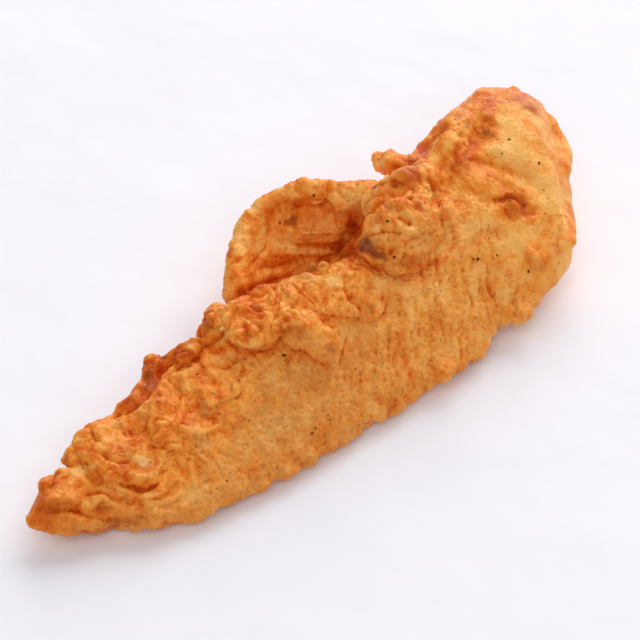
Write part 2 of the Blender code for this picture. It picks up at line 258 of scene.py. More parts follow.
@dataclass
class Surface:
    """A surface in millimetres: its points (n, 3) and its four-sided faces (m, 4)."""

    points: Array
    faces: Array

    @classmethod
    def tube(cls, rings: Array) -> Surface:
        """Joins rings of points into a tube.

        Point (i, j) is joined to (i, j + 1), with j going round, and to the same two on ring
        i + 1. The first and last rings are shrunk to a point, so the tube is closed.

        Args:
            rings: an array (rings, around, 3).

        Returns:
            The surface.
        """
        count, around = rings.shape[:2]
        i, j = np.meshgrid(np.arange(count - 1), np.arange(around), indexing="ij")
        k = (j + 1) % around
        faces = np.stack([i * around + j, i * around + k, (i + 1) * around + k, (i + 1) * around + j])
        return cls(rings.reshape(-1, 3), faces.reshape(4, -1).T)

    @classmethod
    def joined(cls, surfaces: list[Surface]) -> Surface:
        """Puts surfaces side by side in one, without touching their shapes.

        Args:
            surfaces: the surfaces.

        Returns:
            The one surface.
        """
        starts = np.cumsum([0] + [len(surface.points) for surface in surfaces[:-1]])
        faces = [surface.faces + start for surface, start in zip(surfaces, starts)]
        return cls(np.concatenate([s.points for s in surfaces]), np.concatenate(faces))

    def mesh(self, name: str) -> bpy.types.Mesh:
        """Writes the surface into a new mesh.

        Args:
            name: the mesh's name.

        Returns:
            The mesh, in the unit of the points.
        """
        mesh = bpy.data.meshes.new(name)
        mesh.from_pydata(self.points, [], self.faces.tolist())
        mesh.update()
        return mesh

    def skinned(self, voxel: float, rounds: int) -> Surface:
        """Wraps one even skin round everything that the surface encloses.

        Args:
            voxel: the side of the skin's faces, in millimetres.
            rounds: how often each point is moved half-way to the mean of its neighbours.

        Returns:
            The skin.
        """
        obj = bpy.data.objects.new("forms", self.mesh("forms"))
        bpy.context.scene.collection.objects.link(obj)
        wrap = obj.modifiers.new("wrap", "REMESH")
        wrap.mode = "VOXEL"
        wrap.voxel_size = voxel
        if rounds:
            even = obj.modifiers.new("even", "SMOOTH")
            even.iterations = rounds
        graph = bpy.context.evaluated_depsgraph_get()
        mesh = bpy.data.meshes.new_from_object(obj.evaluated_get(graph))
        points = np.empty(3 * len(mesh.vertices))
        mesh.vertices.foreach_get("co", points)
        corners = np.empty(len(mesh.loops), int)
        mesh.loops.foreach_get("vertex_index", corners)
        bpy.data.meshes.remove(mesh)
        bpy.data.meshes.remove(obj.data)
        return Surface(points.reshape(-1, 3), corners.reshape(-1, 4)).largest()

    def largest(self) -> Surface:
        """Keeps the largest body.

        Every point starts with its own number and takes the lowest number on its faces until
        nothing changes, so that points with one number are one body.

        Returns:
            The surface of that body.
        """
        number = np.arange(len(self.points))
        while True:
            low = number[self.faces].min(axis=1)
            new = number.copy()
            for side in self.faces.T:
                np.minimum.at(new, side, low)
            new = new[new]
            if (new == number).all():
                break
            number = new
        keep = number == np.bincount(number).argmax()
        place = np.cumsum(keep) - 1
        return Surface(self.points[keep], place[self.faces[keep[self.faces[:, 0]]]])

    def normals(self) -> Array:
        """Each point's outward direction: the mean of its faces' normals, weighted by area.

        Returns:
            Directions of length one, an array (n, 3).
        """
        a, b, c, d = (self.points[self.faces[:, k]] for k in range(4))
        facing = np.cross(c - a, d - b)
        total = np.zeros_like(self.points)
        for side in self.faces.T:
            for axis in range(3):
                total[:, axis] += np.bincount(side, facing[:, axis], len(self.points))
        return total / np.maximum(np.linalg.norm(total, axis=1, keepdims=True), 1e-12)

    def evened(self, values: Array, rounds: int) -> Array:
        """Spreads values over the surface.

        In each round a point takes the mean of its four or so neighbours along the edges.

        Args:
            values: an array (n,) or (n, k).
            rounds: how many rounds.

        Returns:
            The spread values, in the shape that they came.
        """
        start = self.faces.ravel()
        end = np.roll(self.faces, -1, axis=1).ravel()
        share = np.maximum(np.bincount(start, minlength=len(self.points)), 1)
        result = values.reshape(len(values), -1).astype(float)
        for _ in range(rounds):
            columns = [np.bincount(start, column[end], len(share)) / share for column in result.T]
            result = np.stack(columns, axis=1)
        return result.reshape(values.shape)

    def hollows(self, normals: Array, rounds: int) -> Array:
        """How deep each point lies below its surroundings, in millimetres: crests are negative."""
        return ((self.evened(self.points, rounds) - self.points) * normals).sum(axis=1)


@dataclass(frozen=True)
class Strip:
    """The strip of breast: a long front slope, a ridge, a short back and a flat underside.

    Each guide line gives a place across the strip, or a height, by the place along it. The
    shoulder is how far the back bulges, as a share of the strip's rise.
    """

    tip_x: float = -73.5
    head_x: float = 77.0
    tip_rounding: float = 8.0
    head_rounding: float = 9.0
    front_edge: Pairs = ((-74, -5.5), (-66, -10.6), (-58, -13.9), (-50, -19.6), (-42, -21.9),
                         (-34, -23.5), (-24, -24.6), (-14, -25.1), (-2, -24.8), (8, -25.4),
                         (16, -25.9), (26, -24.8), (34, -23.2), (44, -24), (56, -20.5), (66, -9.5),
                         (76, 3.5))
    ridge: Pairs = ((-74, -3), (-48, -2), (-30, 0.5), (-24, 2.2), (-18, 5), (-6, 2.5), (6, -0.6),
                    (16, -1.2), (36, -1), (56, 4), (76, 11))
    back_edge: Pairs = ((-74, -1), (-66, 1), (-56, 3), (-46, 5.5), (-32, 8), (-6, 9), (24, 12),
                        (46, 15.5), (58, 21), (68, 21.5), (76, 17))
    ridge_height: Pairs = ((-74, 8), (-66, 9.5), (-56, 10.5), (-40, 12.6), (-29, 13.8), (-23, 14.8),
                           (-16, 18), (0, 20), (12, 20.2), (30, 23), (48, 25.5), (66, 26), (76, 21))
    edge_height: Pairs = ((-74, 6), (-56, 5), (-48, 4), (-20, 3.2), (12, 3.2), (40, 6), (64, 11),
                          (76, 13))
    shoulder: Pairs = ((-74, 0.78), (0, 0.78), (7, 0.56), (19, 0.52), (25, 0.78), (76, 0.78))
    underside: Pairs = ((-74, 5), (-66, 2.5), (-56, 1), (-40, 0.5), (20, 0.5), (40, 2), (56, 4),
                        (66, 6), (76, 9))
    rings: int = 220
    around: int = 120

    def surface(self) -> Surface:
        """Carries a changing section along the strip.

        Each section is the smooth closed curve through nine corners that the guide lines place,
        and over the rounding at each end it shrinks to its middle as a quarter circle does. The
        sections are closer together near the ends.

        Returns:
            The strip's closed surface.
        """
        turn = np.linspace(0, np.pi, self.rings)
        x = (self.tip_x + self.head_x - (self.head_x - self.tip_x) * np.cos(turn)) / 2
        guides = (self.front_edge, self.ridge, self.back_edge, self.ridge_height,
                  self.edge_height, self.underside, self.shoulder)
        front, ridge, back, top, edge, under, shoulder = (smooth_line(guide, x) for guide in guides)
        slope, width, rise = ridge - front, back - front, top - edge
        corners = np.stack([
            # The front edge, two corners up the convex front slope, and the ridge.
            [front, edge],
            [front + 0.30 * slope, edge + 0.46 * rise],
            [front + 0.68 * slope, edge + 0.85 * rise],
            [ridge, top],
            # The shoulder and the back edge.
            [ridge + 0.62 * (back - ridge), edge + shoulder * rise],
            [back, edge + 0.25 * rise],
            # The flat underside, from the back to the front.
            [back - 0.22 * width, under],
            [front + 0.45 * width, under],
            [front + 0.14 * width, under],
        ]).transpose(2, 0, 1)
        section = self.closed_curve(corners, self.around)
        middle = section.mean(axis=1, keepdims=True)
        from_tip = np.clip((x - self.tip_x) / self.tip_rounding, 0, 1)
        from_head = np.clip((self.head_x - x) / self.head_rounding, 0, 1)
        share = np.sqrt(1 - (1 - from_tip) ** 2) * np.sqrt(1 - (1 - from_head) ** 2)
        section = middle + (section - middle) * share[:, None, None]
        along = np.broadcast_to(x[:, None, None], (self.rings, self.around, 1))
        return Surface.tube(np.concatenate([along, section], axis=2))

    @staticmethod
    def closed_curve(corners: Array, count: int) -> Array:
        """The smooth closed curve through each row of corners.

        Between two corners the curve is the cubic whose slope at each is half the step between
        that corner's neighbours.

        Args:
            corners: an array (rows, corners, 2).
            count: how many points each curve has.

        Returns:
            An array (rows, count, 2).
        """
        turn = np.arange(count) * corners.shape[1] / count
        i, f = turn.astype(int), (turn % 1)[None, :, None]
        before, here, after, beyond = (corners[:, (i + d) % corners.shape[1]] for d in (-1, 0, 1, 2))
        return 0.5 * (2 * here + (after - before) * f
                      + (2 * before - 5 * here + 4 * after - beyond) * f**2
                      + (3 * here - before - 3 * after + beyond) * f**3)

    def share_across(self, points: Array) -> Array:
        """How far each point is up the front slope: 0 at the front edge and 1 on the ridge."""
        front, ridge = smooth_line(self.front_edge, points[:, 0]), smooth_line(self.ridge, points[:, 0])
        return (points[:, 1] - front) / (ridge - front)


@dataclass(frozen=True)
class Flap:
    """The curled flap: a bowl of crust behind the ridge, whose rim is part of an ellipse."""

    centre: Span = (12.5, 9.5)
    reach: Span = (17.5, 16.0)
    root_y: float = 5.0
    turn: Span = (188.0, -6.0)
    rim_height: Pairs = ((0, 12), (0.25, 15), (0.5, 17.5), (0.75, 18.5), (1, 19.5))
    root_height: float = 9.0
    sag: float = 8.5
    thickness: float = 4.2
    # The section's corners get rounder, and its two ends blunter, as these powers come near 1.
    side_power: float = 0.6
    end_power: int = 12
    # The short way over which the sheet's slopes are measured, as a share of its length.
    near: float = 0.01
    columns: int = 120
    around: int = 72

    def surface(self) -> Surface:
        """Makes the flap as a flattened tube: up its inner side to the rim and back down outside.

        The middle sheet runs in plan from the root straight out to the ellipse, and its height
        climbs as the square of that way, less a sag of four t(1 - t). Both sides stand off it by
        half the thickness times a rounded profile.

        Returns:
            The flap's closed surface.
        """
        s = np.linspace(0, 1, self.columns)[:, None]
        v = np.arange(self.around)[None, :] * 2 * np.pi / self.around
        t = (1 - np.cos(v)) / 2
        out, along = self.middle(s, t), self.middle(s + self.near, t) - self.middle(s - self.near, t)
        climb = self.middle(s, t + self.near) - self.middle(s, t - self.near)
        normal = np.cross(along, climb)
        normal /= np.linalg.norm(normal, axis=2, keepdims=True)
        ends = np.sqrt(1 - (2 * s - 1) ** self.end_power)
        side = np.sign(np.sin(v)) * np.abs(np.sin(v)) ** self.side_power * ends * self.thickness / 2
        return Surface.tube(out + normal * side[..., None])

    def middle(self, s: Array, t: Array) -> Array:
        """The flap's middle sheet.

        Args:
            s: how far along the rim, 0 to 1.
            t: how far from the root to the rim, 0 to 1.

        Returns:
            Points, an array (..., 3).
        """
        angle = np.radians(self.turn[0] + (self.turn[1] - self.turn[0]) * s)
        rim_x = self.centre[0] + self.reach[0] * np.cos(angle)
        rim_y = self.centre[1] + self.reach[1] * np.sin(angle)
        rim_z = smooth_line(self.rim_height, np.clip(s, 0, 1))
        x = self.centre[0] + (rim_x - self.centre[0]) * (0.8 + 0.2 * t)
        y = self.root_y + (rim_y - self.root_y) * t
        dip = 4 * self.sag * t * (1 - t) * np.sqrt(np.maximum(np.sin(np.pi * s), 0))
        z = np.maximum(self.root_height + (rim_z - self.root_height) * t**2 - dip, self.thickness / 2)
        return np.stack(np.broadcast_arrays(x, y, z), axis=-1)


@dataclass(frozen=True)
class Roll:
    """A round-ended roll of batter along a smooth path of points, each with the radius there."""

    path: Points
    rings: int = 48
    around: int = 32

    def surface(self) -> Surface:
        """Carries a circle along the path.

        The circle lies across the path's direction, its radius follows its own smooth line, and
        near both ends it shrinks as a quarter circle does.

        Returns:
            The roll's closed surface.
        """
        route = smooth_path(self.path, self.rings)
        centre, radius = route[:, :3], route[:, 3]
        length = np.linalg.norm(np.diff(centre, axis=0), axis=1).sum()
        near_end = np.clip((1 - np.abs(np.linspace(-1, 1, self.rings))) * length / (2 * radius), 0, 1)
        radius = radius * np.sqrt(1 - (1 - near_end) ** 2)
        ahead = np.gradient(centre, axis=0)
        across = np.cross(ahead, (0.0, 0.0, 1.0))
        across /= np.linalg.norm(across, axis=1, keepdims=True)
        up = np.cross(across, ahead)
        up /= np.linalg.norm(up, axis=1, keepdims=True)
        v = (np.arange(self.around) * 2 * np.pi / self.around)[None, :, None]
        ring = np.cos(v) * across[:, None] + np.sin(v) * up[:, None]
        return Surface.tube(centre[:, None] + radius[:, None, None] * ring)


@dataclass(frozen=True)
class Knob:
    """A ball of batter that sticks out of the crust."""

    x: float
    y: float
    z: float
    radius: float
    rings: int = 16
    around: int = 24

    def surface(self) -> Surface:
        """A ball: circles whose radius is the sine of their angle down from the top.

        Returns:
            The ball's closed surface.
        """
        u = np.linspace(0, np.pi, self.rings)[:, None]
        v = (np.arange(self.around) * 2 * np.pi / self.around)[None, :]
        ball = np.stack([np.sin(u) * np.cos(v), np.sin(u) * np.sin(v), -np.cos(u) + 0 * v], axis=-1)
        return Surface.tube(np.array([self.x, self.y, self.z]) + self.radius * ball)


@dataclass(frozen=True)
class Sight:
    """The photograph's view, which gives each place on the crust its place in the picture.

    The camera stands far off at an angle to the tender. A trace is a path in the photograph's
    pixels, and a sight turns it into millimetres across the tender's middle.
    """

    azimuth: float = -41.0
    elevation: float = 45.0
    distance: float = 620.0
    middle: Place = (0.0, 0.0, 11.0)
    middle_pixel: Span = (306.0, 318.0)
    pixels_per_mm: float = 4.95
    # Between which parts of a normal that point to the camera a place comes into full view.
    full_view: Span = (-0.1, 0.3)

    def axes(self) -> Array:
        """The picture's own directions.

        Returns:
            Three rows: to the picture's right, up the picture, and back to the camera.
        """
        turn, tilt = np.radians(self.azimuth), np.radians(self.elevation)
        return np.array([
            [np.cos(turn), np.sin(turn), 0],
            [-np.sin(turn) * np.sin(tilt), np.cos(turn) * np.sin(tilt), np.cos(tilt)],
            [np.sin(turn) * np.cos(tilt), -np.cos(turn) * np.cos(tilt), np.sin(tilt)],
        ])

    def seen(self, points: Array) -> tuple[Array, Array]:
        """Where points are seen.

        Each point's steps to the right and up are scaled by how much nearer it is than the middle.

        Args:
            points: places in millimetres (n, 3).

        Returns:
            The places in the picture (n, 2), and how far each point lies towards the camera.
        """
        right, up, back = ((points - self.middle) @ self.axes().T).T
        return np.stack([right, up], axis=1) * (self.distance / (self.distance - back))[:, None], back

    def traced(self, pixels: Points) -> Array:
        """Turns a path in pixels into millimetres right of and above the middle."""
        return (np.array(pixels) - self.middle_pixel) * (1, -1) / self.pixels_per_mm

    def facing(self, normals: Array) -> Array:
        """How fully each place is in view: 0 where it faces away, 1 where it faces the camera."""
        return ramp(normals @ self.axes()[2], *self.full_view)


SIGHT = Sight()


class Seen(Enum):
    """From where a stroke was drawn: from above in millimetres, or in the photograph's pixels."""

    ABOVE = "above"
    PHOTO = "photo"


@dataclass(frozen=True)
class Stroke:
    """A line drawn on the crust: a furrow, a ridge, or the edge of a sheet of batter.

    A sheet stands up on the left of its path, ends there in a cliff that leans out by overhang,
    and sinks back over the distance width. A furrow has a height below nought.
    """

    seen: Seen
    path: Points
    height: float
    width: float
    overhang: float = 0.0
    # Between which upward parts of a normal a stroke that was drawn from above takes hold.
    upward: Span = (-0.2, 0.25)
    # The taper stops this far from each end, as a share of the length.
    end: float = 0.03
    # A sheet's cliff rises between these distances left of its path, and its edge leans out in a
    # band with this middle and this width.
    cliff: Span = (-0.45, 0.6)
    lean: Span = (0.5, 0.8)
    # How far a stroke reaches: so many widths, and so many millimetres more.
    reach: Span = (3.0, 1.5)

    def push(self, points: Array, normals: Array) -> Array:
        """How far the stroke moves each point.

        A furrow or ridge is a bell curve across its path. A sheet's rise is a short ramp at the
        path times an exponential fall behind it. Both taper as the root of a sine towards their
        ends.

        Args:
            points: the crust's points (n, 3).
            normals: their outward directions.

        Returns:
            Steps (n, 3).
        """
        if self.seen is Seen.ABOVE:
            places, route = points[:, :2], np.array(self.path)
            plane, facing = np.eye(3)[:2], ramp(normals[:, 2], *self.upward)
        else:
            places, route = SIGHT.seen(points)[0], SIGHT.traced(self.path)
            plane, facing = SIGHT.axes()[:2], SIGHT.facing(normals)
        step = np.zeros_like(points)
        reach = self.reach[0] * self.width + self.reach[1]
        near = ((places > route.min(axis=0) - reach) & (places < route.max(axis=0) + reach)).all(axis=1)
        near &= facing > 0
        left, along, across = self.beside(places[near], route)
        taper = np.sin(np.pi * np.clip(along, self.end, 1 - self.end)) ** 0.5 * facing[near]
        if not self.overhang:
            step[near] = normals[near] * (taper * self.height * bell(left, self.width))[:, None]
            return step
        rise = ramp(left, *self.cliff) * np.exp(-np.maximum(left, 0) / self.width) * (left < reach)
        band = bell(left - self.lean[0], self.lean[1])
        step[near] = normals[near] * (taper * self.height * rise)[:, None]
        step[near] += (across @ plane) * (taper * self.overhang * band)[:, None]
        return step

    @staticmethod
    def beside(places: Array, path: Array) -> tuple[Array, Array, Array]:
        """Where places lie along a path.

        Each place is measured to the nearest of the short straight runs that the path is cut into.

        Args:
            places: an array (n, 2).
            path: the path's points (m, 2).

        Returns:
            The distance to the left of the path, how far along it is (0 to 1), and the direction
            to its right.
        """
        route = smooth_path(path, 8 * len(path))
        start, run = route[:-1], np.diff(route, axis=0)
        off = places[:, None, :] - start
        share = np.clip((off * run).sum(axis=2) / (run**2).sum(axis=1), 0, 1)
        miss = off - share[..., None] * run
        nearest = (miss**2).sum(axis=2).argmin(axis=1)
        row = np.arange(len(places))
        miss, run_here = miss[row, nearest], run[nearest]
        turn = run_here[:, 0] * miss[:, 1] - run_here[:, 1] * miss[:, 0]
        left = np.where(turn >= 0, 1, -1) * np.hypot(*miss.T)
        across = np.stack([run_here[:, 1], -run_here[:, 0]], axis=1)
        across /= np.linalg.norm(run_here, axis=1, keepdims=True)
        return left, (nearest + share[row, nearest]) / len(run), across


def strokes(seen: Seen, *rows: tuple[float, ...]) -> tuple[Stroke, ...]:
    """Furrows and ridges. A row gives height, width, and the path as x, y, x, y and so on."""
    return tuple(Stroke(seen, tuple(zip(row[2::2], row[3::2])), *row[:2]) for row in rows)


def sheets(*rows: tuple[float, ...]) -> tuple[Stroke, ...]:
    """Sheets traced in the photograph. A row gives height, width, overhang, and the path."""
    return tuple(Stroke(Seen.PHOTO, tuple(zip(row[3::2], row[4::2])), *row[:3]) for row in rows)


@dataclass(frozen=True)
class Batter:
    """The batter's relief: where it is craggy, and how high its sheets, blobs and wrinkles are.

    Each noise is named for what it makes. A pair of numbers is the range that a ramp runs over.
    Lengths and heights are in millimetres, and shares say how much of a relief is left or lost.
    """

    strip: Strip = Strip()
    flap: Flap = Flap()
    # How far up the front slope the crags start, by the place along the strip.
    crag_start: Pairs = ((-75, 0.1), (-55, 0.15), (-40, 0.35), (-25, 0.55), (-12, 0.62), (-6, 0.42),
                         (0, 0.55), (6, 0.74), (15, 0.85), (76, 1.0))
    crag_blend: float = 0.12
    slope_share: float = 0.22
    underside_share: float = 0.6
    # The flap's rim is this smooth and its pocket wholly. Each fades over these shares of its reach.
    rim_calm: float = 0.7
    rim_fade: Span = (1.5, 1.2)
    pocket_fade: Span = (1.0, 0.8)
    flap_starts: Span = (8.0, 11.0)
    # Broad sheets: a bent noise and a smaller one, cut into so many steps with soft cliffs.
    sheet_flow: Noise = Noise(11, 20, bend=3.5)
    sheets: Noise = Noise(8.5, 20)
    sheet_edges: Noise = Noise(5, 24)
    sheet_edge_share: float = 0.35
    sheet_steps: float = 1.7
    sheet_cliff: Span = (0.55, 0.95)
    sheet_height: float = 1.1
    sheet_calm: float = 0.7
    lumps: Noise = Noise(4.2, 31)
    lump_height: float = 0.3
    # The frill stands in a band of this middle height and width, where the edge faces forward.
    frill: Noise = Noise(4.5, 47, (1, 1, 5))
    frill_small: Noise = Noise(1.7, 48, (1, 1, 3))
    frill_small_share: float = 0.7
    frill_band: Span = (3.2, 2.2)
    frill_facing: Span = (0.1, 0.6)
    frill_height: float = 1.2
    # The fine relief is weaker on the head, towards the tip, on the flap and on one smooth dome.
    head_starts: Span = (38.0, 48.0)
    head_calm: float = 0.8
    tip_starts: Span = (-20.0, -36.0)
    tip_calm: float = 0.26
    flap_calm: float = 0.8
    dome: Span = (1.4, -2.9)
    dome_radius: float = 4.6
    dome_calm: float = 0.85
    # Flowing folds, and the flakes and ripples that follow them.
    flow: Noise = Noise(12, 61, bend=5.0)
    folds: Noise = Noise(4.6, 64, (1, 1.7, 1.7))
    fold_height: float = 0.48
    flakes: Noise = Noise(6.0, 65)
    flake_edges: Noise = Noise(1.8, 62)
    flake_edge_share: float = 0.25
    flake_steps: float = 2.2
    flake_cliff: Span = (0.8, 1.0)
    flake_height: float = 0.62
    ripples: Noise = Noise(8.0, 68)
    ripple_turns: float = 1.6
    ripple_power: float = 1.5
    ripple_height: float = 0.35
    # Thin crests, puckers and beads, the crests and beads only in some places.
    wrinkle_flow: Noise = Noise(3, 71, bend=1.2)
    edges: Noise = Noise(3.4, 66)
    edge_width: float = 0.22
    edge_places: Noise = Noise(6, 77)
    edge_where: Span = (-0.2, 0.2)
    edge_height: float = 0.34
    puckers: Noise = Noise(1.1, 70)
    pucker_height: float = 0.16
    bead_flow: Noise = Noise(4, 67, bend=1.0)
    beads: Cells = Cells(1.9, 68)
    bead_places: Noise = Noise(7, 69)
    bead_where: Span = (0.15, 0.4)
    bead_height: float = 0.12
    # All of these but the folds are stronger in some places, and never quite end.
    strength: Noise = Noise(9, 63)
    strength_where: Span = (-0.25, 0.3)
    least_strength: float = 0.35
    # Fine lines run straight away from the camera, which is an eighth of a turn from the strip.
    line_flow: Noise = Noise(7, 75, bend=1.6)
    line: Noise = Noise(1.2, 74, (1, 3.5, 3.5))
    line_axes: Points = ((0.755, 0.656, 0), (-0.656, 0.755, 0), (0, 0, 1))
    lines_start: Span = (-45.0, 5.0)
    lines_fade: Span = (28.0, 42.0)
    lines_lost: float = 0.5
    line_height: float = 0.36
    blister_flow: Noise = Noise(5, 82, bend=1.5)
    blisters: Noise = Noise(4.2, 81)
    blister_height: float = 0.5
    # Lines and blisters weaken as the crust gets craggier, and would end at this.
    slope_level: float = 1.1
    # Grain is everywhere, with more of it on the smooth slope and less on the head.
    grain: Noise = Noise(0.9, 91)
    grain_blobs: Cells = Cells(0.9, 95)
    grain_blob_share: float = 0.5
    grain_share: float = 0.8
    grain_head: float = -0.45
    grain_slope: float = 1.3
    grain_height: float = 0.12
    # What stands up has sagged this way, down the front slope.
    sag: float = 1.0
    sag_way: Place = (0.0, -0.6, -0.8)

    def craggy(self, points: Array, normals: Array) -> Array:
        """How craggy the crust is: all of it behind the crag's start, little on the front slope.

        Args:
            points: the crust's points.
            normals: their outward directions.

        Returns:
            A share of up to 1 for each point.
        """
        across, start = self.strip.share_across(points), smooth_line(self.crag_start, points[:, 0])
        behind = ramp(across, start - self.crag_blend, start + self.crag_blend)
        share = self.slope_share + (1 - self.slope_share) * behind
        return np.where(normals[:, 2] < 0, np.minimum(share, self.underside_share), share)

    def calm(self, points: Array) -> Array:
        """How smooth the flap's crust is: 1 in its pocket, and less on its rim.

        Args:
            points: the crust's points.

        Returns:
            A share of up to 1 for each point.
        """
        off = np.hypot(*((points[:, :2] - self.flap.centre) / self.flap.reach).T)
        rim, pocket = ramp(off, *self.rim_fade), ramp(off, *self.pocket_fade)
        share = self.rim_calm * rim + (1 - self.rim_calm) * pocket
        return share * ramp(points[:, 1], *self.flap_starts)

    @staticmethod
    def steps(level: Array, low: float, high: float) -> Array:
        """Cuts a height into flat steps: each is level up to low, then rises to the next by high."""
        step = np.floor(level)
        return step + ramp(level - step, low, high)

    def lines(self, points: Array) -> Array:
        """Fine lines on the slope's head half: a bent noise drawn out along one way.

        Args:
            points: the crust's points.

        Returns:
            A height of about -1 to 1 for each point.
        """
        turned = self.line_flow.bent(points) @ np.array(self.line_axes)
        fade = self.lines_lost * ramp(points[:, 0], *self.lines_fade)
        return self.line.at(turned) * ramp(points[:, 0], *self.lines_start) * (1 - fade)

    def heights(self, points: Array, normals: Array) -> Array:
        """The broad relief along the normal, in millimetres.

        It is a bent noise cut into sheets, the crests of a second noise, and a frill at the front
        edge, which is a noise that changes little with height.

        Args:
            points: the crust's points.
            normals: their outward directions.

        Returns:
            One height for each point.
        """
        bent = self.sheet_flow.bent(points)
        level = self.sheets.at(bent) + self.sheet_edge_share * self.sheet_edges.at(points)
        level = self.sheet_steps * level
        sheets = self.sheet_height * self.steps(level, *self.sheet_cliff) / self.sheet_steps
        lumps = self.lump_height * self.lumps.ridges(points)
        middle, width = self.frill_band
        at_edge = bell(points[:, 2] - middle, width) * ramp(-normals[:, 1], *self.frill_facing)
        frill = self.frill.at(points) + self.frill_small_share * self.frill_small.at(points)
        rough = self.craggy(points, normals) * (1 - self.sheet_calm * self.calm(points))
        return rough * (sheets + lumps) + self.frill_height * at_edge * frill

    def fine(self, points: Array, normals: Array) -> Array:
        """How far the fine relief moves each point, in millimetres.

        The crags have flowing folds, which are a noise bent by another, with flakes, ripples and
        wrinkles on them. Ripples are the sine of a broad noise, sharpened by a power, so they run
        in parallel swirls. The smooth slope has lines that run up it, and blisters, and grain is
        everywhere. What stands up has also sagged down the slope, which makes its lower edge
        steep.

        Args:
            points: the crust's points.
            normals: their outward directions.

        Returns:
            Steps (n, 3).
        """
        craggy = self.craggy(points, normals)
        head = ramp(points[:, 0], *self.head_starts)
        tip = ramp(points[:, 0], *self.tip_starts)
        rough = craggy * (1 - self.head_calm * head - self.tip_calm * tip)
        rough = rough * (1 - self.flap_calm * self.calm(points))
        off = np.hypot(*(points[:, :2] - self.dome).T)
        rough = rough * (1 - self.dome_calm * bell(off, self.dome_radius))
        flow = self.flow.bent(points)
        folds = self.fold_height * self.folds.at(flow)
        swirl = np.sin(2 * np.pi * self.ripple_turns * self.ripples.at(flow))
        ripples = self.ripple_height * (0.5 + 0.5 * swirl) ** self.ripple_power
        strength = ramp(self.strength.at(points), *self.strength_where)
        strength = self.least_strength + (1 - self.least_strength) * strength
        lines = self.line_height * self.lines(points) * (1 - self.lines_lost * head)
        blisters = self.blister_height * self.blisters.at(self.blister_flow.bent(points))
        grain = self.grain.at(points) + self.grain_blob_share * self.grain_blobs.blobs(points)
        grain_share = self.grain_share + self.grain_head * head
        grain_share = grain_share + self.grain_slope * (1 - craggy) * (1 - head)
        small = self.flaked(points, flow) + ripples + self.wrinkled(points)
        height = (rough * (folds + strength * small) + (self.slope_level - craggy) * (lines + blisters)
                  + self.grain_height * grain * grain_share)
        down = np.array(self.sag_way) - (normals @ self.sag_way)[:, None] * normals
        return normals * height[:, None] + down * (self.sag * rough * (folds + ripples))[:, None]

    def flaked(self, points: Array, flow: Array) -> Array:
        """Thin flakes: a broad noise cut into steps that rise slowly and end in a small cliff.

        Args:
            points: the crust's points, for the flakes' ragged edges.
            flow: the same points, bent.

        Returns:
            One height for each point.
        """
        edges = self.flake_edge_share * self.flake_edges.at(points)
        rise = (self.flake_steps * self.flakes.at(flow) + edges) % 1
        return self.flake_height * rise * (1 - ramp(rise, *self.flake_cliff))

    def wrinkled(self, points: Array) -> Array:
        """Small wrinkles.

        Thin crests stand where a noise crosses nought, puckers are the size of a noise, so that
        soft swells meet in sharp lines, and beads are the blobs of a cell pattern.

        Args:
            points: the crust's points.

        Returns:
            One height for each point.
        """
        near = self.wrinkle_flow.bent(points)
        crests = self.edge_height * (1 - ramp(np.abs(self.edges.at(near)), 0, self.edge_width))
        crests = crests * ramp(self.edge_places.at(points), *self.edge_where)
        puckers = self.pucker_height * np.abs(self.puckers.at(near))
        beads = self.bead_height * self.beads.blobs(self.bead_flow.bent(points))
        return crests + puckers + beads * ramp(self.bead_places.at(points), *self.bead_where)


def node(tree: Tree, kind: str, settings: dict | None = None,
         links: dict | None = None) -> bpy.types.Node:
    """Adds a shader node.

    Args:
        tree: the material's or the world's node tree.
        kind: the node's type name.
        settings: values by the node's own property, or by the input's name or number.
        links: sockets to link from, by the input's name or number.

    Returns:
        The node.
    """
    new = tree.nodes.new(kind)
    for name, value in (settings or {}).items():
        if isinstance(name, str) and hasattr(new, name):
            setattr(new, name, value)
        else:
            new.inputs[name].default_value = value
    for name, socket in (links or {}).items():
        tree.links.new(socket, new.inputs[name])
    return new


class Paint(Enum):
    """What is painted on the crust, each by the name of its attribute.

    The tone runs from the deep orange of an oily crease, at 0, to pale blistered batter, at 1;
    its low end is also painted shade in creases, and its high end painted highlight on crests.
    The others are laid over it: flour that stayed dry, also painted shade on the slope's tip half;
    bare dough, also one painted highlight; brown edges, with brown that is painted shade in some
    creases; and burnt fringes, partly painted shade at the lump's foot.
    """

    TONE = "tone"
    DRY_AND_SHADE = "dry"
    DOUGH_AND_HIGHLIGHT = "dough"
    BROWN = "brown"
    BURNT_AND_SHADE = "burnt"


@dataclass(frozen=True)
class Layer:
    """One colour laid over those below it, where its paint and a noise together pass a ramp."""

    paint: Paint
    colour: str
    ragged_mm: float
    ragged: float
    low: float
    high: float


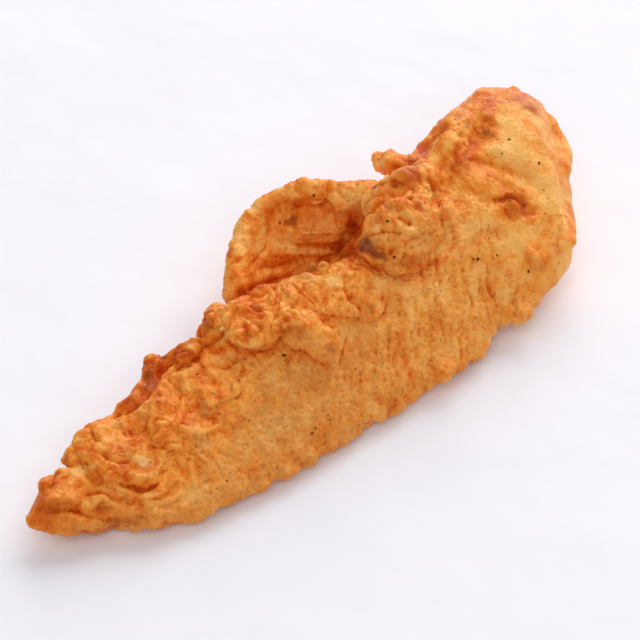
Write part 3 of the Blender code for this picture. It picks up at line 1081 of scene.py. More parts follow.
@dataclass(frozen=True)
class CrustFinish:
    """Fried batter: flour and egg that browned in hot oil, with paprika in it.

    It is deep orange in the creases where oil collects, and darker there as painted shade, golden
    where it set smooth, and pale where it blistered and, on some crests, as painted highlight, with
    brown on thin edges and, as painted shade, in some creases. It is half matt and a little
    translucent, and its thin film of oil gives soft warm highlights.
    """

    # The low tones are also painted shade in creases, and the high ones painted highlight on crests.
    tones: tuple[tuple[float, str], ...] = (
        (0.0, "CA4A04"), (0.25, "DF6911"), (0.5, "ED892C"), (0.75, "F8A448"), (1.0, "FFBC64"),
    )
    # The tone is uneven in patches, and in a speckle of flour and spice. The speckle's real grains
    # are about 0.3 mm, and it is drawn twice as coarse so that it shows.
    mottle_mm: float = 6.0
    mottle: float = 1.2
    speckle_mm: float = 0.7
    speckle: float = 0.55
    # Dry flour, also painted shade on the slope's tip half; bare dough, also one painted highlight;
    # brown, also painted shade in some creases; burnt brown, partly painted shade at the lump's foot.
    layers: tuple[Layer, ...] = (
        Layer(Paint.DRY_AND_SHADE, "C08142", 2.6, 1.0, 0.0, 2.0),
        Layer(Paint.DOUGH_AND_HIGHLIGHT, "F8DDB4", 2.0, 0.8, 0.2, 1.6),
        Layer(Paint.BROWN, "AC4A0E", 2.2, 0.9, 0.0, 1.2),
        Layer(Paint.BURNT_AND_SHADE, "6E2A18", 1.2, 0.6, 0.1, 1.4),
    )
    # Paprika: one fleck of up to 0.3 mm in each cell of this size. Its radius is in cells.
    fleck: str = "B04A16"
    fleck_mm: float = 1.8
    fleck_radius: float = 0.16
    fleck_edge: Span = (-0.06, 0.05)
    fleck_share: float = 0.6
    # Wrinkles of the set skin, and its grain, drawn at 0.6 mm, as finer would not show.
    wrinkle_mm: float = 2.2
    wrinkle_depth_mm: float = 0.5
    grain_mm: float = 0.6
    grain_depth_mm: float = 0.2
    bump: float = 0.8
    # Rougher where the wrinkle noise, in its middle range, is high.
    roughness: Span = (0.25, 0.47)
    roughness_over: Span = (0.3, 0.7)
    ior: float = 1.45
    shine: float = 0.3
    shine_tint: str = "FFDDB0"
    # How much light goes in, and how far each colour of it travels.
    glow: float = 0.28
    glow_mm: Place = (1.0, 0.35, 0.1)

    def material(self) -> bpy.types.Material:
        """Lays the layers and the flecks over the tone, and adds the bumps and the shine.

        Returns:
            The material.
        """
        material = bpy.data.materials.new("fried_batter_crust")
        material.use_nodes = True
        tree = material.node_tree
        shader = tree.nodes["Principled BSDF"]
        place = node(tree, "ShaderNodeTexCoord").outputs["Object"]
        colour = self.toned(tree, place)
        for layer in self.layers:
            colour = self.laid(tree, layer, place, colour)
        tree.links.new(self.flecked(tree, place, colour), shader.inputs["Base Color"])
        self.bumped(tree, place, shader)
        for name, value in (("IOR", self.ior), ("Specular IOR Level", self.shine),
                            ("Specular Tint", linear(self.shine_tint)),
                            ("Subsurface Weight", self.glow),
                            ("Subsurface Radius", self.glow_mm), ("Subsurface Scale", MM)):
            shader.inputs[name].default_value = value
        return material

    def toned(self, tree: Tree, place: Socket) -> Socket:
        """Turns the painted tone plus a broad mottle and a fine speckle into colour by a ramp.

        Args:
            tree: the material's node tree.
            place: the object's coordinates.

        Returns:
            The colour.
        """
        tone = node(tree, "ShaderNodeAttribute", {"attribute_name": Paint.TONE.value}).outputs["Fac"]
        for size, share, detail in ((self.mottle_mm, self.mottle, 4.0),
                                    (self.speckle_mm, self.speckle, 2.0)):
            noise = node(tree, "ShaderNodeTexNoise",
                         {"Scale": 1 / (size * MM), "Detail": detail, "Roughness": 0.55},
                         {"Vector": place})
            tone = node(tree, "ShaderNodeMath", {"operation": "MULTIPLY_ADD", 1: share},
                        {0: noise.outputs["Fac"], 2: tone}).outputs[0]
        tone = node(tree, "ShaderNodeMath",
                    {"operation": "SUBTRACT", 1: 0.5 * (self.mottle + self.speckle)}, {0: tone})
        ramped = node(tree, "ShaderNodeValToRGB", {}, {0: tone.outputs[0]})
        stops = ramped.color_ramp.elements
        for number, (at, code) in enumerate(self.tones):
            stop = stops[number] if number < 2 else stops.new(at)
            stop.position, stop.color = at, linear(code)
        return ramped.outputs["Color"]

    def flecked(self, tree: Tree, place: Socket, under: Socket) -> Socket:
        """Adds the flecks: small round dots at the middles of a cell pattern, each of its own size.

        Args:
            tree: the material's node tree.
            place: the object's coordinates.
            under: the colour below.

        Returns:
            The colour with the flecks on it.
        """
        cells = node(tree, "ShaderNodeTexVoronoi", {"Scale": 1 / (self.fleck_mm * MM)},
                     {"Vector": place})
        edge = node(tree, "ShaderNodeMath", {"operation": "MULTIPLY_ADD", 1: -self.fleck_radius},
                    {0: cells.outputs["Color"], 2: cells.outputs["Distance"]})
        share = node(tree, "ShaderNodeMapRange",
                     {"interpolation_type": "SMOOTHSTEP", "From Min": self.fleck_edge[0],
                      "From Max": self.fleck_edge[1], "To Min": self.fleck_share, "To Max": 0.0},
                     {"Value": edge.outputs[0]})
        return node(tree, "ShaderNodeMix", {"data_type": "RGBA", 7: linear(self.fleck)},
                    {0: share.outputs["Result"], 6: under}).outputs[2]

    def bumped(self, tree: Tree, place: Socket, shader: bpy.types.Node) -> None:
        """Adds the wrinkles and the grain as bumps, and the roughness that follows the wrinkles.

        Args:
            tree: the material's node tree.
            place: the object's coordinates.
            shader: the shader that they go to.
        """
        wrinkle = node(tree, "ShaderNodeTexNoise",
                       {"Scale": 1 / (self.wrinkle_mm * MM), "Detail": 3.0, "Distortion": 1.2},
                       {"Vector": place})
        grain = node(tree, "ShaderNodeTexNoise",
                     {"Scale": 1 / (self.grain_mm * MM), "Detail": 2.0, "Roughness": 0.5},
                     {"Vector": place})
        coarse = node(tree, "ShaderNodeBump",
                      {"Strength": self.bump, "Distance": self.wrinkle_depth_mm * MM},
                      {"Height": wrinkle.outputs["Fac"]})
        fine = node(tree, "ShaderNodeBump",
                    {"Strength": self.bump, "Distance": self.grain_depth_mm * MM},
                    {"Height": grain.outputs["Fac"], "Normal": coarse.outputs["Normal"]})
        rough = node(tree, "ShaderNodeMapRange",
                     {"From Min": self.roughness_over[0], "From Max": self.roughness_over[1],
                      "To Min": self.roughness[0], "To Max": self.roughness[1]},
                     {"Value": wrinkle.outputs["Fac"]})
        tree.links.new(fine.outputs["Normal"], shader.inputs["Normal"])
        tree.links.new(rough.outputs["Result"], shader.inputs["Roughness"])

    @staticmethod
    def laid(tree: Tree, layer: Layer, place: Socket, under: Socket) -> Socket:
        """Lays one layer.

        Its share rises from low to high in the sum of its paint and a noise about nought, so the
        patch gets a ragged edge.

        Args:
            tree: the material's node tree.
            layer: the layer.
            place: the object's coordinates.
            under: the colour below.

        Returns:
            The colour with the layer on it.
        """
        paint = node(tree, "ShaderNodeAttribute", {"attribute_name": layer.paint.value})
        noise = node(tree, "ShaderNodeTexNoise",
                     {"Scale": 1 / (layer.ragged_mm * MM), "Detail": 3.0}, {"Vector": place})
        around = node(tree, "ShaderNodeMath", {"operation": "MULTIPLY_ADD", 1: layer.ragged,
                                               2: -0.5 * layer.ragged}, {0: noise.outputs["Fac"]})
        ragged = node(tree, "ShaderNodeMath", {"operation": "MULTIPLY"},
                      {0: around.outputs[0], 1: paint.outputs["Fac"]})
        both = node(tree, "ShaderNodeMath", {"operation": "MULTIPLY_ADD", 1: 2.0},
                    {0: ragged.outputs[0], 2: paint.outputs["Fac"]})
        share = node(tree, "ShaderNodeMapRange",
                     {"interpolation_type": "SMOOTHSTEP", "From Min": layer.low,
                      "From Max": layer.high}, {"Value": both.outputs[0]})
        return node(tree, "ShaderNodeMix", {"data_type": "RGBA", 7: linear(layer.colour)},
                    {0: share.outputs["Result"], 6: under}).outputs[2]


@dataclass(frozen=True)
class PlainFinish:
    """A material of two near colours, for things too small or too plain to show more."""

    name: str
    colour: str
    dark: str
    roughness: float
    size_mm: float
    shine: float = 0.5
    bump: float = 0.4
    # How deep the bump is, as a share of the noise's size.
    depth: float = 0.1

    def material(self) -> bpy.types.Material:
        """Mixes the two colours by a noise of that size, with a fine bump.

        Returns:
            The material.
        """
        material = bpy.data.materials.new(self.name)
        material.use_nodes = True
        tree = material.node_tree
        shader = tree.nodes["Principled BSDF"]
        place = node(tree, "ShaderNodeTexCoord")
        noise = node(tree, "ShaderNodeTexNoise", {"Scale": 1 / (self.size_mm * MM), "Detail": 3.0},
                     {"Vector": place.outputs["Object"]})
        mix = node(tree, "ShaderNodeMix", {"data_type": "RGBA", 6: linear(self.colour),
                                           7: linear(self.dark)}, {0: noise.outputs["Fac"]})
        bump = node(tree, "ShaderNodeBump",
                    {"Strength": self.bump, "Distance": self.depth * self.size_mm * MM},
                    {"Height": noise.outputs["Fac"]})
        tree.links.new(mix.outputs[2], shader.inputs["Base Color"])
        tree.links.new(bump.outputs["Normal"], shader.inputs["Normal"])
        shader.inputs["Roughness"].default_value = self.roughness
        shader.inputs["Specular IOR Level"].default_value = self.shine
        return material


@dataclass(frozen=True)
class Spot:
    """A patch of one paint, as an ellipse in the photograph's pixels."""

    paint: Paint
    strength: float
    centre: Span
    half: Span
    turn: float = 0.0

    def share(self, places: Array) -> Array:
        """A bell over the ellipse, flatter on top than a bell curve and steeper at its edge.

        Args:
            places: places in the picture, in millimetres (n, 2).

        Returns:
            The strength at the middle, fading to nought outside.
        """
        off = places - SIGHT.traced((self.centre,))
        turn = np.radians(self.turn)
        long = off @ (np.cos(turn), np.sin(turn)) * SIGHT.pixels_per_mm / self.half[0]
        short = off @ (-np.sin(turn), np.cos(turn)) * SIGHT.pixels_per_mm / self.half[1]
        return self.strength * np.exp(-((long**2 + short**2) ** 1.5))


def patches(paint: Paint, *rows: tuple[float, ...]) -> tuple[Spot, ...]:
    """Spots of one paint. A row gives strength, place x and y, both half lengths, and any turn."""
    return tuple(Spot(paint, row[0], row[1:3], row[3:5], *row[5:]) for row in rows)


@dataclass(frozen=True)
class Browning:
    """How frying coloured the batter: what each part of the crust adds to a paint.

    A pair of numbers is the range that a ramp runs over, in millimetres where it says no more.
    Paler crests are partly painted highlight, and darker creases and valleys and the dry flour on
    the slope's tip half are partly painted shade.
    """

    # The tone, and what is added on the crags, on the head and on the tip, and in the pocket.
    tone: float = 0.69
    crag: float = -0.17
    head: float = 0.02
    head_starts: Span = (36.0, 46.0)
    tip: float = -0.06
    tip_starts: Span = (-50.0, -64.0)
    pocket: float = 0.1
    # Streaks and swirls, which are bent noises. The swirls are weaker on the smooth slope.
    streak_flow: Noise = Noise(7, 206, bend=3.0)
    streaks: Noise = Noise(3.2, 205)
    streak: float = 0.1
    swirl_flow: Noise = Noise(9, 209, bend=4.0)
    swirls: Noise = Noise(2.4, 208)
    swirl: float = 0.35
    swirl_on_slope: float = 0.4
    # The slope's fine furrows, by their depth, and its head half.
    line: float = -0.2
    line_depth: Span = (0.05, 0.5)
    slope: float = 0.12
    slope_starts: Span = (-5.0, 35.0)
    # Crests and creases, by how far a point lies below its near and its far surroundings. Crests
    # are made paler, partly as painted highlight, and creases and valleys deeper orange, partly as
    # painted shade.
    near_rounds: int = 6
    far_rounds: int = 40
    crest: float = 0.16
    crest_rise: Span = (0.0, 0.2)
    crease: float = -0.4
    crease_depth: Span = (0.02, 0.25)
    valley: float = -0.3
    valley_depth: Span = (0.2, 1.6)
    valley_lost_in_pocket: float = 0.6
    # Dry flour on the slope, less of it in its head half. Its dull darker colour is also painted
    # shade on the slope's tip half. Brown in strong streaks and on the tip.
    dry: float = 0.9
    dry_lost: float = 0.35
    dry_fades: Span = (-10.0, 15.0)
    brown: float = 0.5
    brown_streaks: Span = (0.25, 0.7)
    brown_tip: float = 0.22
    # What makes the spots' outlines uneven.
    spot_flow: Noise = Noise(2.2, 311, bend=0.7)


@dataclass(frozen=True)
class Crust:
    """The whole tender: its forms fused into one skin, with relief and painted attributes."""

    batter: Batter = Batter()
    browning: Browning = Browning()
    finish: CrustFinish = CrustFinish()
    # The size of the skin's faces, and how often it is evened out, at first and at last.
    first_voxel: float = 0.6
    first_rounds: int = 8
    last_voxel: float = 0.28
    last_rounds: int = 1
    # What makes the strokes' paths uneven.
    stroke_flow: Noise = Noise(3.5, 301, bend=0.5)
    # The underside is where the evened normal points down by more than this, and the two halves
    # of the rest meet at this place along the strip.
    under_rounds: int = 30
    underside_turn: float = -0.4
    halves_meet: float = 13.0
    rolls: tuple[Roll, ...] = tuple(Roll(row) for row in (
        # The lump that folds over the pocket's end, and the batter behind it.
        ((18, -2, 20.6, 3.8), (21, -1.6, 21.6, 5.5), (26, -3, 22.5, 6.0), (31, -3, 22, 5.6),
         (37, -1, 22, 4.5)),
        ((24, 9, 18, 3.0), (29, 6, 22, 4.2), (36, 3, 24, 4.6), (42, 4, 24, 3.5)),
        # The nub between the flap and the head, and its knob.
        ((35.6, 17.2, 20.4, 3.2), (37.8, 14.4, 20.4, 2.6), (40, 12, 20.4, 2.4), (44, 9, 20.6, 3.2)),
        ((34.9, 18.5, 20, 3.8), (36, 17.4, 20.2, 3.8)),
        # The fin behind the head.
        ((42, 13.5, 11.5, 2.2), (47, 16.5, 13.5, 2.6), (53, 19, 15, 2.7), (58, 19.5, 17, 2.4)),
        # The tongue of batter that hangs down the front slope.
        ((-7, -3, 18, 3.6), (-6.5, -8, 16, 3.0), (-5.4, -12, 13.6, 2.0), (-4.8, -13.8, 12.2, 1.0)),
        # The flap's rolled rim, from its tip side to its head side.
        ((-3.4, 14.4, 7.4, 1.9), (-5.4, 15.2, 9, 2.3), (-4.3, 16.4, 10.6, 2.6), (-2.6, 18.2, 12.5, 2.5),
         (0.7, 21.5, 14, 2.1), (5, 24.5, 15, 2.2), (9.8, 26, 16.2, 2.2)),
        ((9.8, 26, 16.2, 2.2), (13.2, 25.8, 16.9, 2.2), (16.4, 24.4, 17.4, 2.2),
         (20.2, 22.4, 17.5, 2.5), (21.4, 18.6, 18, 2.2)),
        ((23, 18.5, 18, 2.4), (26.5, 14, 18.5, 2.9), (30, 10.5, 20, 2.8)),
        # Lobes on the front edge, near the tip, and at its head end.
        ((-54.5, -13.5, 3.4, 1.5), (-52, -16.4, 3, 2.0), (-49.5, -17.5, 3.4, 1.6)),
        ((-48.5, -18.8, 3.4, 1.4), (-46, -19.9, 3, 1.9), (-43.5, -19.8, 3.6, 1.6)),
        ((34.5, -23.4, 5.4, 1.8), (37, -24, 6.2, 2.3), (39.4, -23.6, 6.8, 2.0)),
        ((12, -25.6, 4.6, 1.6), (14.7, -25.6, 5, 2.0), (17, -24.8, 5, 1.6)),
        ((-29.2, -24.4, 3, 0.9), (-28.7, -24.9, 2.8, 0.9)),
        # The lobe behind the notch, and the thin brown fin that runs on from it along the crest.
        ((-58.2, 3.5, 7, 1.6), (-54.9, 3, 8, 2.2), (-50.9, 3.9, 8.6, 2.5), (-47.8, 4.3, 9, 2.2),
         (-44.7, 5.1, 9.4, 1.7)),
        ((-45.5, 5.7, 9.4, 1.3), (-42.9, 5.6, 9.8, 1.6), (-40.3, 5.8, 10, 1.3), (-37.7, 6.6, 10.2, 1.7),
         (-34.6, 8, 10.6, 1.5), (-32, 10.2, 11, 1.7)),
        ((-33.1, 10.6, 11, 1.4), (-31.8, 10.2, 11.4, 1.9), (-30.5, 8.4, 12, 1.5),
         (-27.7, 7.9, 12.4, 2.1), (-26.1, 6.7, 12.8, 1.7)),
        ((-25.5, 7, 12.8, 1.5), (-21.9, 6.3, 13.2, 2.1), (-18.1, 7.9, 13.6, 2.0), (-15.9, 10, 14, 1.5),
         (-13.4, 10.5, 14.4, 1.8)),
        # The head's far corner and its right side.
        ((71.6, 8, 18.5, 2.4), (72.8, 5.2, 17, 2.3), (72.6, 2.2, 15.6, 1.9), (71.6, -0.4, 15, 1.8),
         (69.2, -2.9, 14.8, 2.3), (64.9, -7.2, 14.8, 2.2)),
        ((58, -15, 14.6, 1.5), (55, -19.2, 14.3, 1.8), (50.2, -22.6, 14, 1.3)),
    ))
    knobs: tuple[Knob, ...] = tuple(Knob(*row) for row in (
        # Along the flap's rim.
        (7.5, 26, 17, 1.5), (9.9, 26.6, 17.5, 1.3), (11.7, 26.3, 17.8, 1.4), (14.3, 25.3, 18.2, 1.5),
        (17.5, 24.3, 18.8, 1.8), (19.9, 23.2, 19, 1.9), (21.5, 20.7, 19.2, 1.4),
        (22.6, 21.6, 19, 1.5), (24.4, 20.3, 18.6, 1.4),
        # On the fins behind the crest, on the tip and on the ridge, and at the front edge.
        (-42.4, 4.9, 10.4, 1.4), (-39.9, 5.1, 10.8, 1.5), (-37.2, 6.2, 11.2, 1.4),
        (-34.0, 8.3, 11.6, 1.5), (-28.3, 8.3, 12.6, 1.4), (-25.7, 7.5, 13.2, 1.5),
        (-20.3, 8.0, 14.0, 1.5), (-65.5, 1.1, 7.5, 1.6), (-61.5, 1.0, 8.6, 1.3),
        (5.2, 0.6, 21.4, 1.1), (53, -22, 14.6, 1.5),
    ))
    # The strokes that the solid has too, the sheets' places taken from the photograph.
    broad: tuple[Stroke, ...] = (
        *strokes(Seen.ABOVE, (-1.2, 1.0, -61, 4.5, -59, 0, -58.3, -5, -56.8, -9.5),
            (-2.0, 1.4, 13.5, 1, 13, -3.5, 16.5, -8, 21, -10.5, 26, -9.5, 31, -8),
            (-2.2, 3.0, 35, -6, 38.5, -2, 41, 4, 43, 10), (-0.8, 2.8, 46, 4, 53, 8, 61, 12),
            (1.6, 2.0, 44, 9, 50, 11.5, 55, 12.5), (-1.8, 1.8, 45, 1, 50, -1.5, 54, -7, 56, -10),
            (0.9, 3.0, 43.5, -19, 46, -18.5), (-1.7, 1.3, -24.5, 12, -22.5, 9, -20.5, 5.5)),
        # Sheets over the pocket's left end, the hanging tongue, and the ridge's middle.
        *sheets((3.0, 8, 1.4, 214, 322, 222, 332, 234, 340, 250, 345, 266, 342, 277, 334, 284, 322),
            (2.2, 5, 1.3, 283, 312, 286, 328, 296, 340, 311, 348, 322, 356, 330, 364, 334, 358),
            (2.6, 7, 1.2, 300, 302, 315, 311, 335, 313, 352, 316, 368, 318, 378, 313, 385, 298)),
        # The flake above the middle of the slope, the tip's folds, and a lobe of the front edge.
        *sheets((1.9, 5, 1.1, 188, 397, 200, 403, 212, 404, 224, 400, 231, 394, 234, 385, 229, 374),
            (1.6, 5, 0.8, 150, 398, 152, 412, 151, 428, 158, 442, 172, 448, 186, 446, 200, 440,
             206, 448),
            (2.0, 5, 1.0, 64, 461, 78, 460, 92, 464, 104, 472, 116, 479, 132, 484, 146, 484),
            (1.4, 4, 0.6, 100, 474, 112, 486, 130, 494, 150, 497, 168, 490, 176, 478, 174, 464),
            (1.3, 4, 0.4, 180, 514, 165, 511, 150, 512, 136, 518)),
        # The crease where the pocket's right end meets the ridge and the fold lump.
        *strokes(Seen.PHOTO, (-2.4, 1.6, 358, 214, 353, 234, 343, 250, 328, 260, 314, 266),
            (-1.6, 1.3, 234, 298, 246, 292, 260, 288, 276, 282, 292, 275),
            (-1.5, 2.2, 244, 297, 262, 294, 280, 287),
            (-1.2, 0.9, 362, 257, 378, 264, 396, 269, 416, 266, 432, 256),
            (-1.6, 1.2, 427, 172, 434, 188, 440, 202),
            (-1.2, 1.2, 240, 352, 262, 350, 280, 344, 290, 332)),
        # The fold lump over the crease at its foot, and the rim's hanging edge.
        *sheets((2.2, 6, 1.3, 358, 226, 358, 240, 365, 253, 379, 261, 394, 267, 412, 268, 430, 261,
             444, 248),
            (1.5, 4, 0.8, 322, 192, 334, 198, 340, 208, 338, 222, 345, 229)),
    )
    fine: tuple[Stroke, ...] = (
        # The tip: its ridge, its brown nodules and the creases round them.
        *strokes(Seen.PHOTO, (0.9, 1.0, 36, 506, 50, 500, 66, 497, 80, 503),
            (-0.8, 0.6, 44, 512, 60, 508, 78, 512, 96, 522), (1.0, 0.9, 88, 502, 100, 498, 112, 503),
            (-1.0, 0.6, 82, 496, 90, 491, 104, 491, 118, 498), (-0.8, 0.5, 92, 515, 106, 519, 120, 517),
            (-0.6, 0.5, 57, 470, 52, 482, 43, 494)),
        # The swirl of folds behind the notch.
        *strokes(Seen.PHOTO, (0.8, 0.6, 118, 470, 132, 476, 146, 477, 157, 468, 158, 456),
            (-0.9, 0.5, 110, 478, 126, 486, 142, 489, 156, 483, 163, 471),
            (-0.8, 0.5, 100, 452, 112, 460, 126, 462, 134, 452),
            (0.6, 0.6, 140, 500, 158, 502, 174, 498, 186, 486), (-0.7, 0.5, 88, 428, 94, 438, 104, 444),
            (-0.7, 0.5, 120, 425, 128, 432, 140, 432, 148, 424)),
        # The creases between the crest and the fins behind it.
        *strokes(Seen.PHOTO, (-1.3, 0.8, 110, 420, 123, 412, 136, 404, 146, 394, 153, 384),
            (-1.2, 0.8, 210, 343, 219, 333, 222, 320, 220, 308),
            (-1.4, 0.8, 150, 386, 158, 376, 170, 368, 184, 364, 197, 356, 206, 345, 214, 341,
             220, 332)),
        # The valley below the middle flake, and the pale arc below it.
        *strokes(Seen.PHOTO, (-0.9, 1.8, 180, 410, 194, 415, 208, 411, 218, 406),
            (1.0, 0.7, 168, 420, 178, 428, 192, 433, 206, 433, 216, 427, 221, 419),
            (-0.9, 0.6, 196, 442, 204, 438, 213, 440), (0.7, 0.7, 205, 358, 210, 372, 220, 380),
            (-0.8, 0.6, 160, 372, 172, 380, 180, 394, 178, 408),
            (-0.8, 0.6, 238, 352, 232, 364, 214, 368),
            (0.8, 0.8, 226, 362, 240, 366, 256, 362, 266, 352)),
        # The brown dint of the ridge, and the small lumps and creases at its right.
        *strokes(Seen.PHOTO, (-0.5, 1.0, 305, 266, 297, 279, 298, 292, 308, 302, 320, 306),
            (0.9, 0.9, 350, 288, 355, 298), (0.9, 0.9, 366, 302, 376, 307),
            (-0.8, 0.5, 343, 280, 348, 294, 358, 306, 366, 314),
            (-0.7, 0.5, 338, 262, 352, 268, 366, 270),
            (-0.6, 0.7, 243, 322, 246, 334, 256, 334, 262, 326, 254, 322),
            (-0.7, 0.5, 272, 306, 274, 320, 270, 330)),
        # Folds of the lump, and the creases that part it from the nub and the head.
        *strokes(Seen.PHOTO, (-0.8, 0.5, 362, 240, 378, 233, 398, 233, 420, 241),
            (0.8, 0.7, 380, 250, 395, 243, 410, 233, 425, 222),
            (-0.7, 0.5, 385, 256, 402, 249, 418, 239, 432, 232),
            (-0.7, 0.5, 392, 214, 408, 221, 424, 233), (-0.9, 0.6, 406, 193, 414, 204, 423, 213),
            (0.8, 0.8, 368, 206, 382, 200, 398, 205),
            (-1.6, 1.2, 430, 184, 437, 198, 442, 214, 449, 228, 452, 242),
            (-1.3, 0.8, 376, 184, 392, 183, 406, 185, 416, 191),
            (-1.2, 0.8, 374, 190, 368, 200, 356, 210)),
        # The pocket: the crease under its rolled rim, and its long folds.
        *strokes(Seen.PHOTO, (-0.7, 0.6, 268, 212, 271, 228, 268, 244, 259, 258, 250, 268),
            (-0.9, 0.9, 275, 210, 290, 205, 310, 203, 328, 207, 336, 222),
            (0.9, 0.7, 282, 228, 300, 231, 322, 232, 342, 233),
            (-1.1, 0.7, 280, 239, 300, 243, 325, 245, 350, 242),
            (0.9, 0.7, 286, 252, 310, 254, 335, 250), (-1.1, 0.7, 260, 270, 282, 263, 310, 259),
            (0.8, 0.7, 254, 282, 274, 275, 294, 268), (0.5, 0.45, 284, 220, 300, 225, 318, 226),
            (-0.45, 0.4, 292, 237, 310, 240, 330, 240), (0.45, 0.4, 276, 244, 296, 248, 316, 249),
            (-0.45, 0.4, 272, 256, 290, 257, 306, 255)),
        # Dints across the flap's rolled rim.
        *strokes(Seen.PHOTO, (-0.35, 0.9, 230, 256, 240, 262, 247, 272, 251, 282),
            (-0.35, 0.6, 236, 236, 248, 232, 262, 236), (-0.35, 0.6, 252, 206, 260, 214, 268, 218),
            (-0.5, 0.6, 296, 183, 300, 192, 312, 198), (-0.7, 0.6, 336, 184, 340, 193, 350, 200)),
        # The head: its groove, the crater and its curl, the step below it, and the fin's groove.
        *strokes(Seen.PHOTO, (-0.7, 0.9, 478, 203, 490, 203, 500, 201),
            (-1.4, 0.7, 498, 201, 506, 200, 512, 197, 519, 199, 524, 206, 524, 213),
            (1.0, 0.8, 507, 205, 513, 203, 518, 208, 518, 214),
            (-0.8, 0.7, 505, 207, 509, 215, 517, 219, 528, 216, 536, 210),
            (-0.9, 1.0, 470, 246, 488, 232, 505, 236, 522, 248),
            (1.3, 1.8, 438, 158, 450, 142, 464, 128, 480, 112),
            (-1.1, 1.6, 454, 166, 468, 151, 482, 138, 492, 127),
            (-1.6, 1.0, 424, 151, 434, 138, 447, 126), (0.9, 2.4, 528, 262, 541, 255),
            (0.7, 1.4, 545, 150, 552, 180, 554, 212), (-0.6, 0.8, 498, 175, 508, 186, 522, 192)),
        # Thin creases that run up the front slope.
        *strokes(Seen.PHOTO, (-0.6, 0.4, 415, 303, 413, 324, 409, 346),
            (0.5, 0.45, 437, 290, 443, 308, 453, 328), (-0.6, 0.4, 468, 283, 472, 303, 470, 325),
            (-0.7, 0.5, 512, 307, 517, 290), (-0.6, 0.4, 487, 266, 490, 288, 497, 306),
            (-0.5, 0.4, 392, 320, 388, 342, 390, 360), (-0.5, 0.4, 344, 336, 341, 356, 336, 378),
            (0.5, 0.6, 395, 284, 404, 296, 418, 300)),
    )
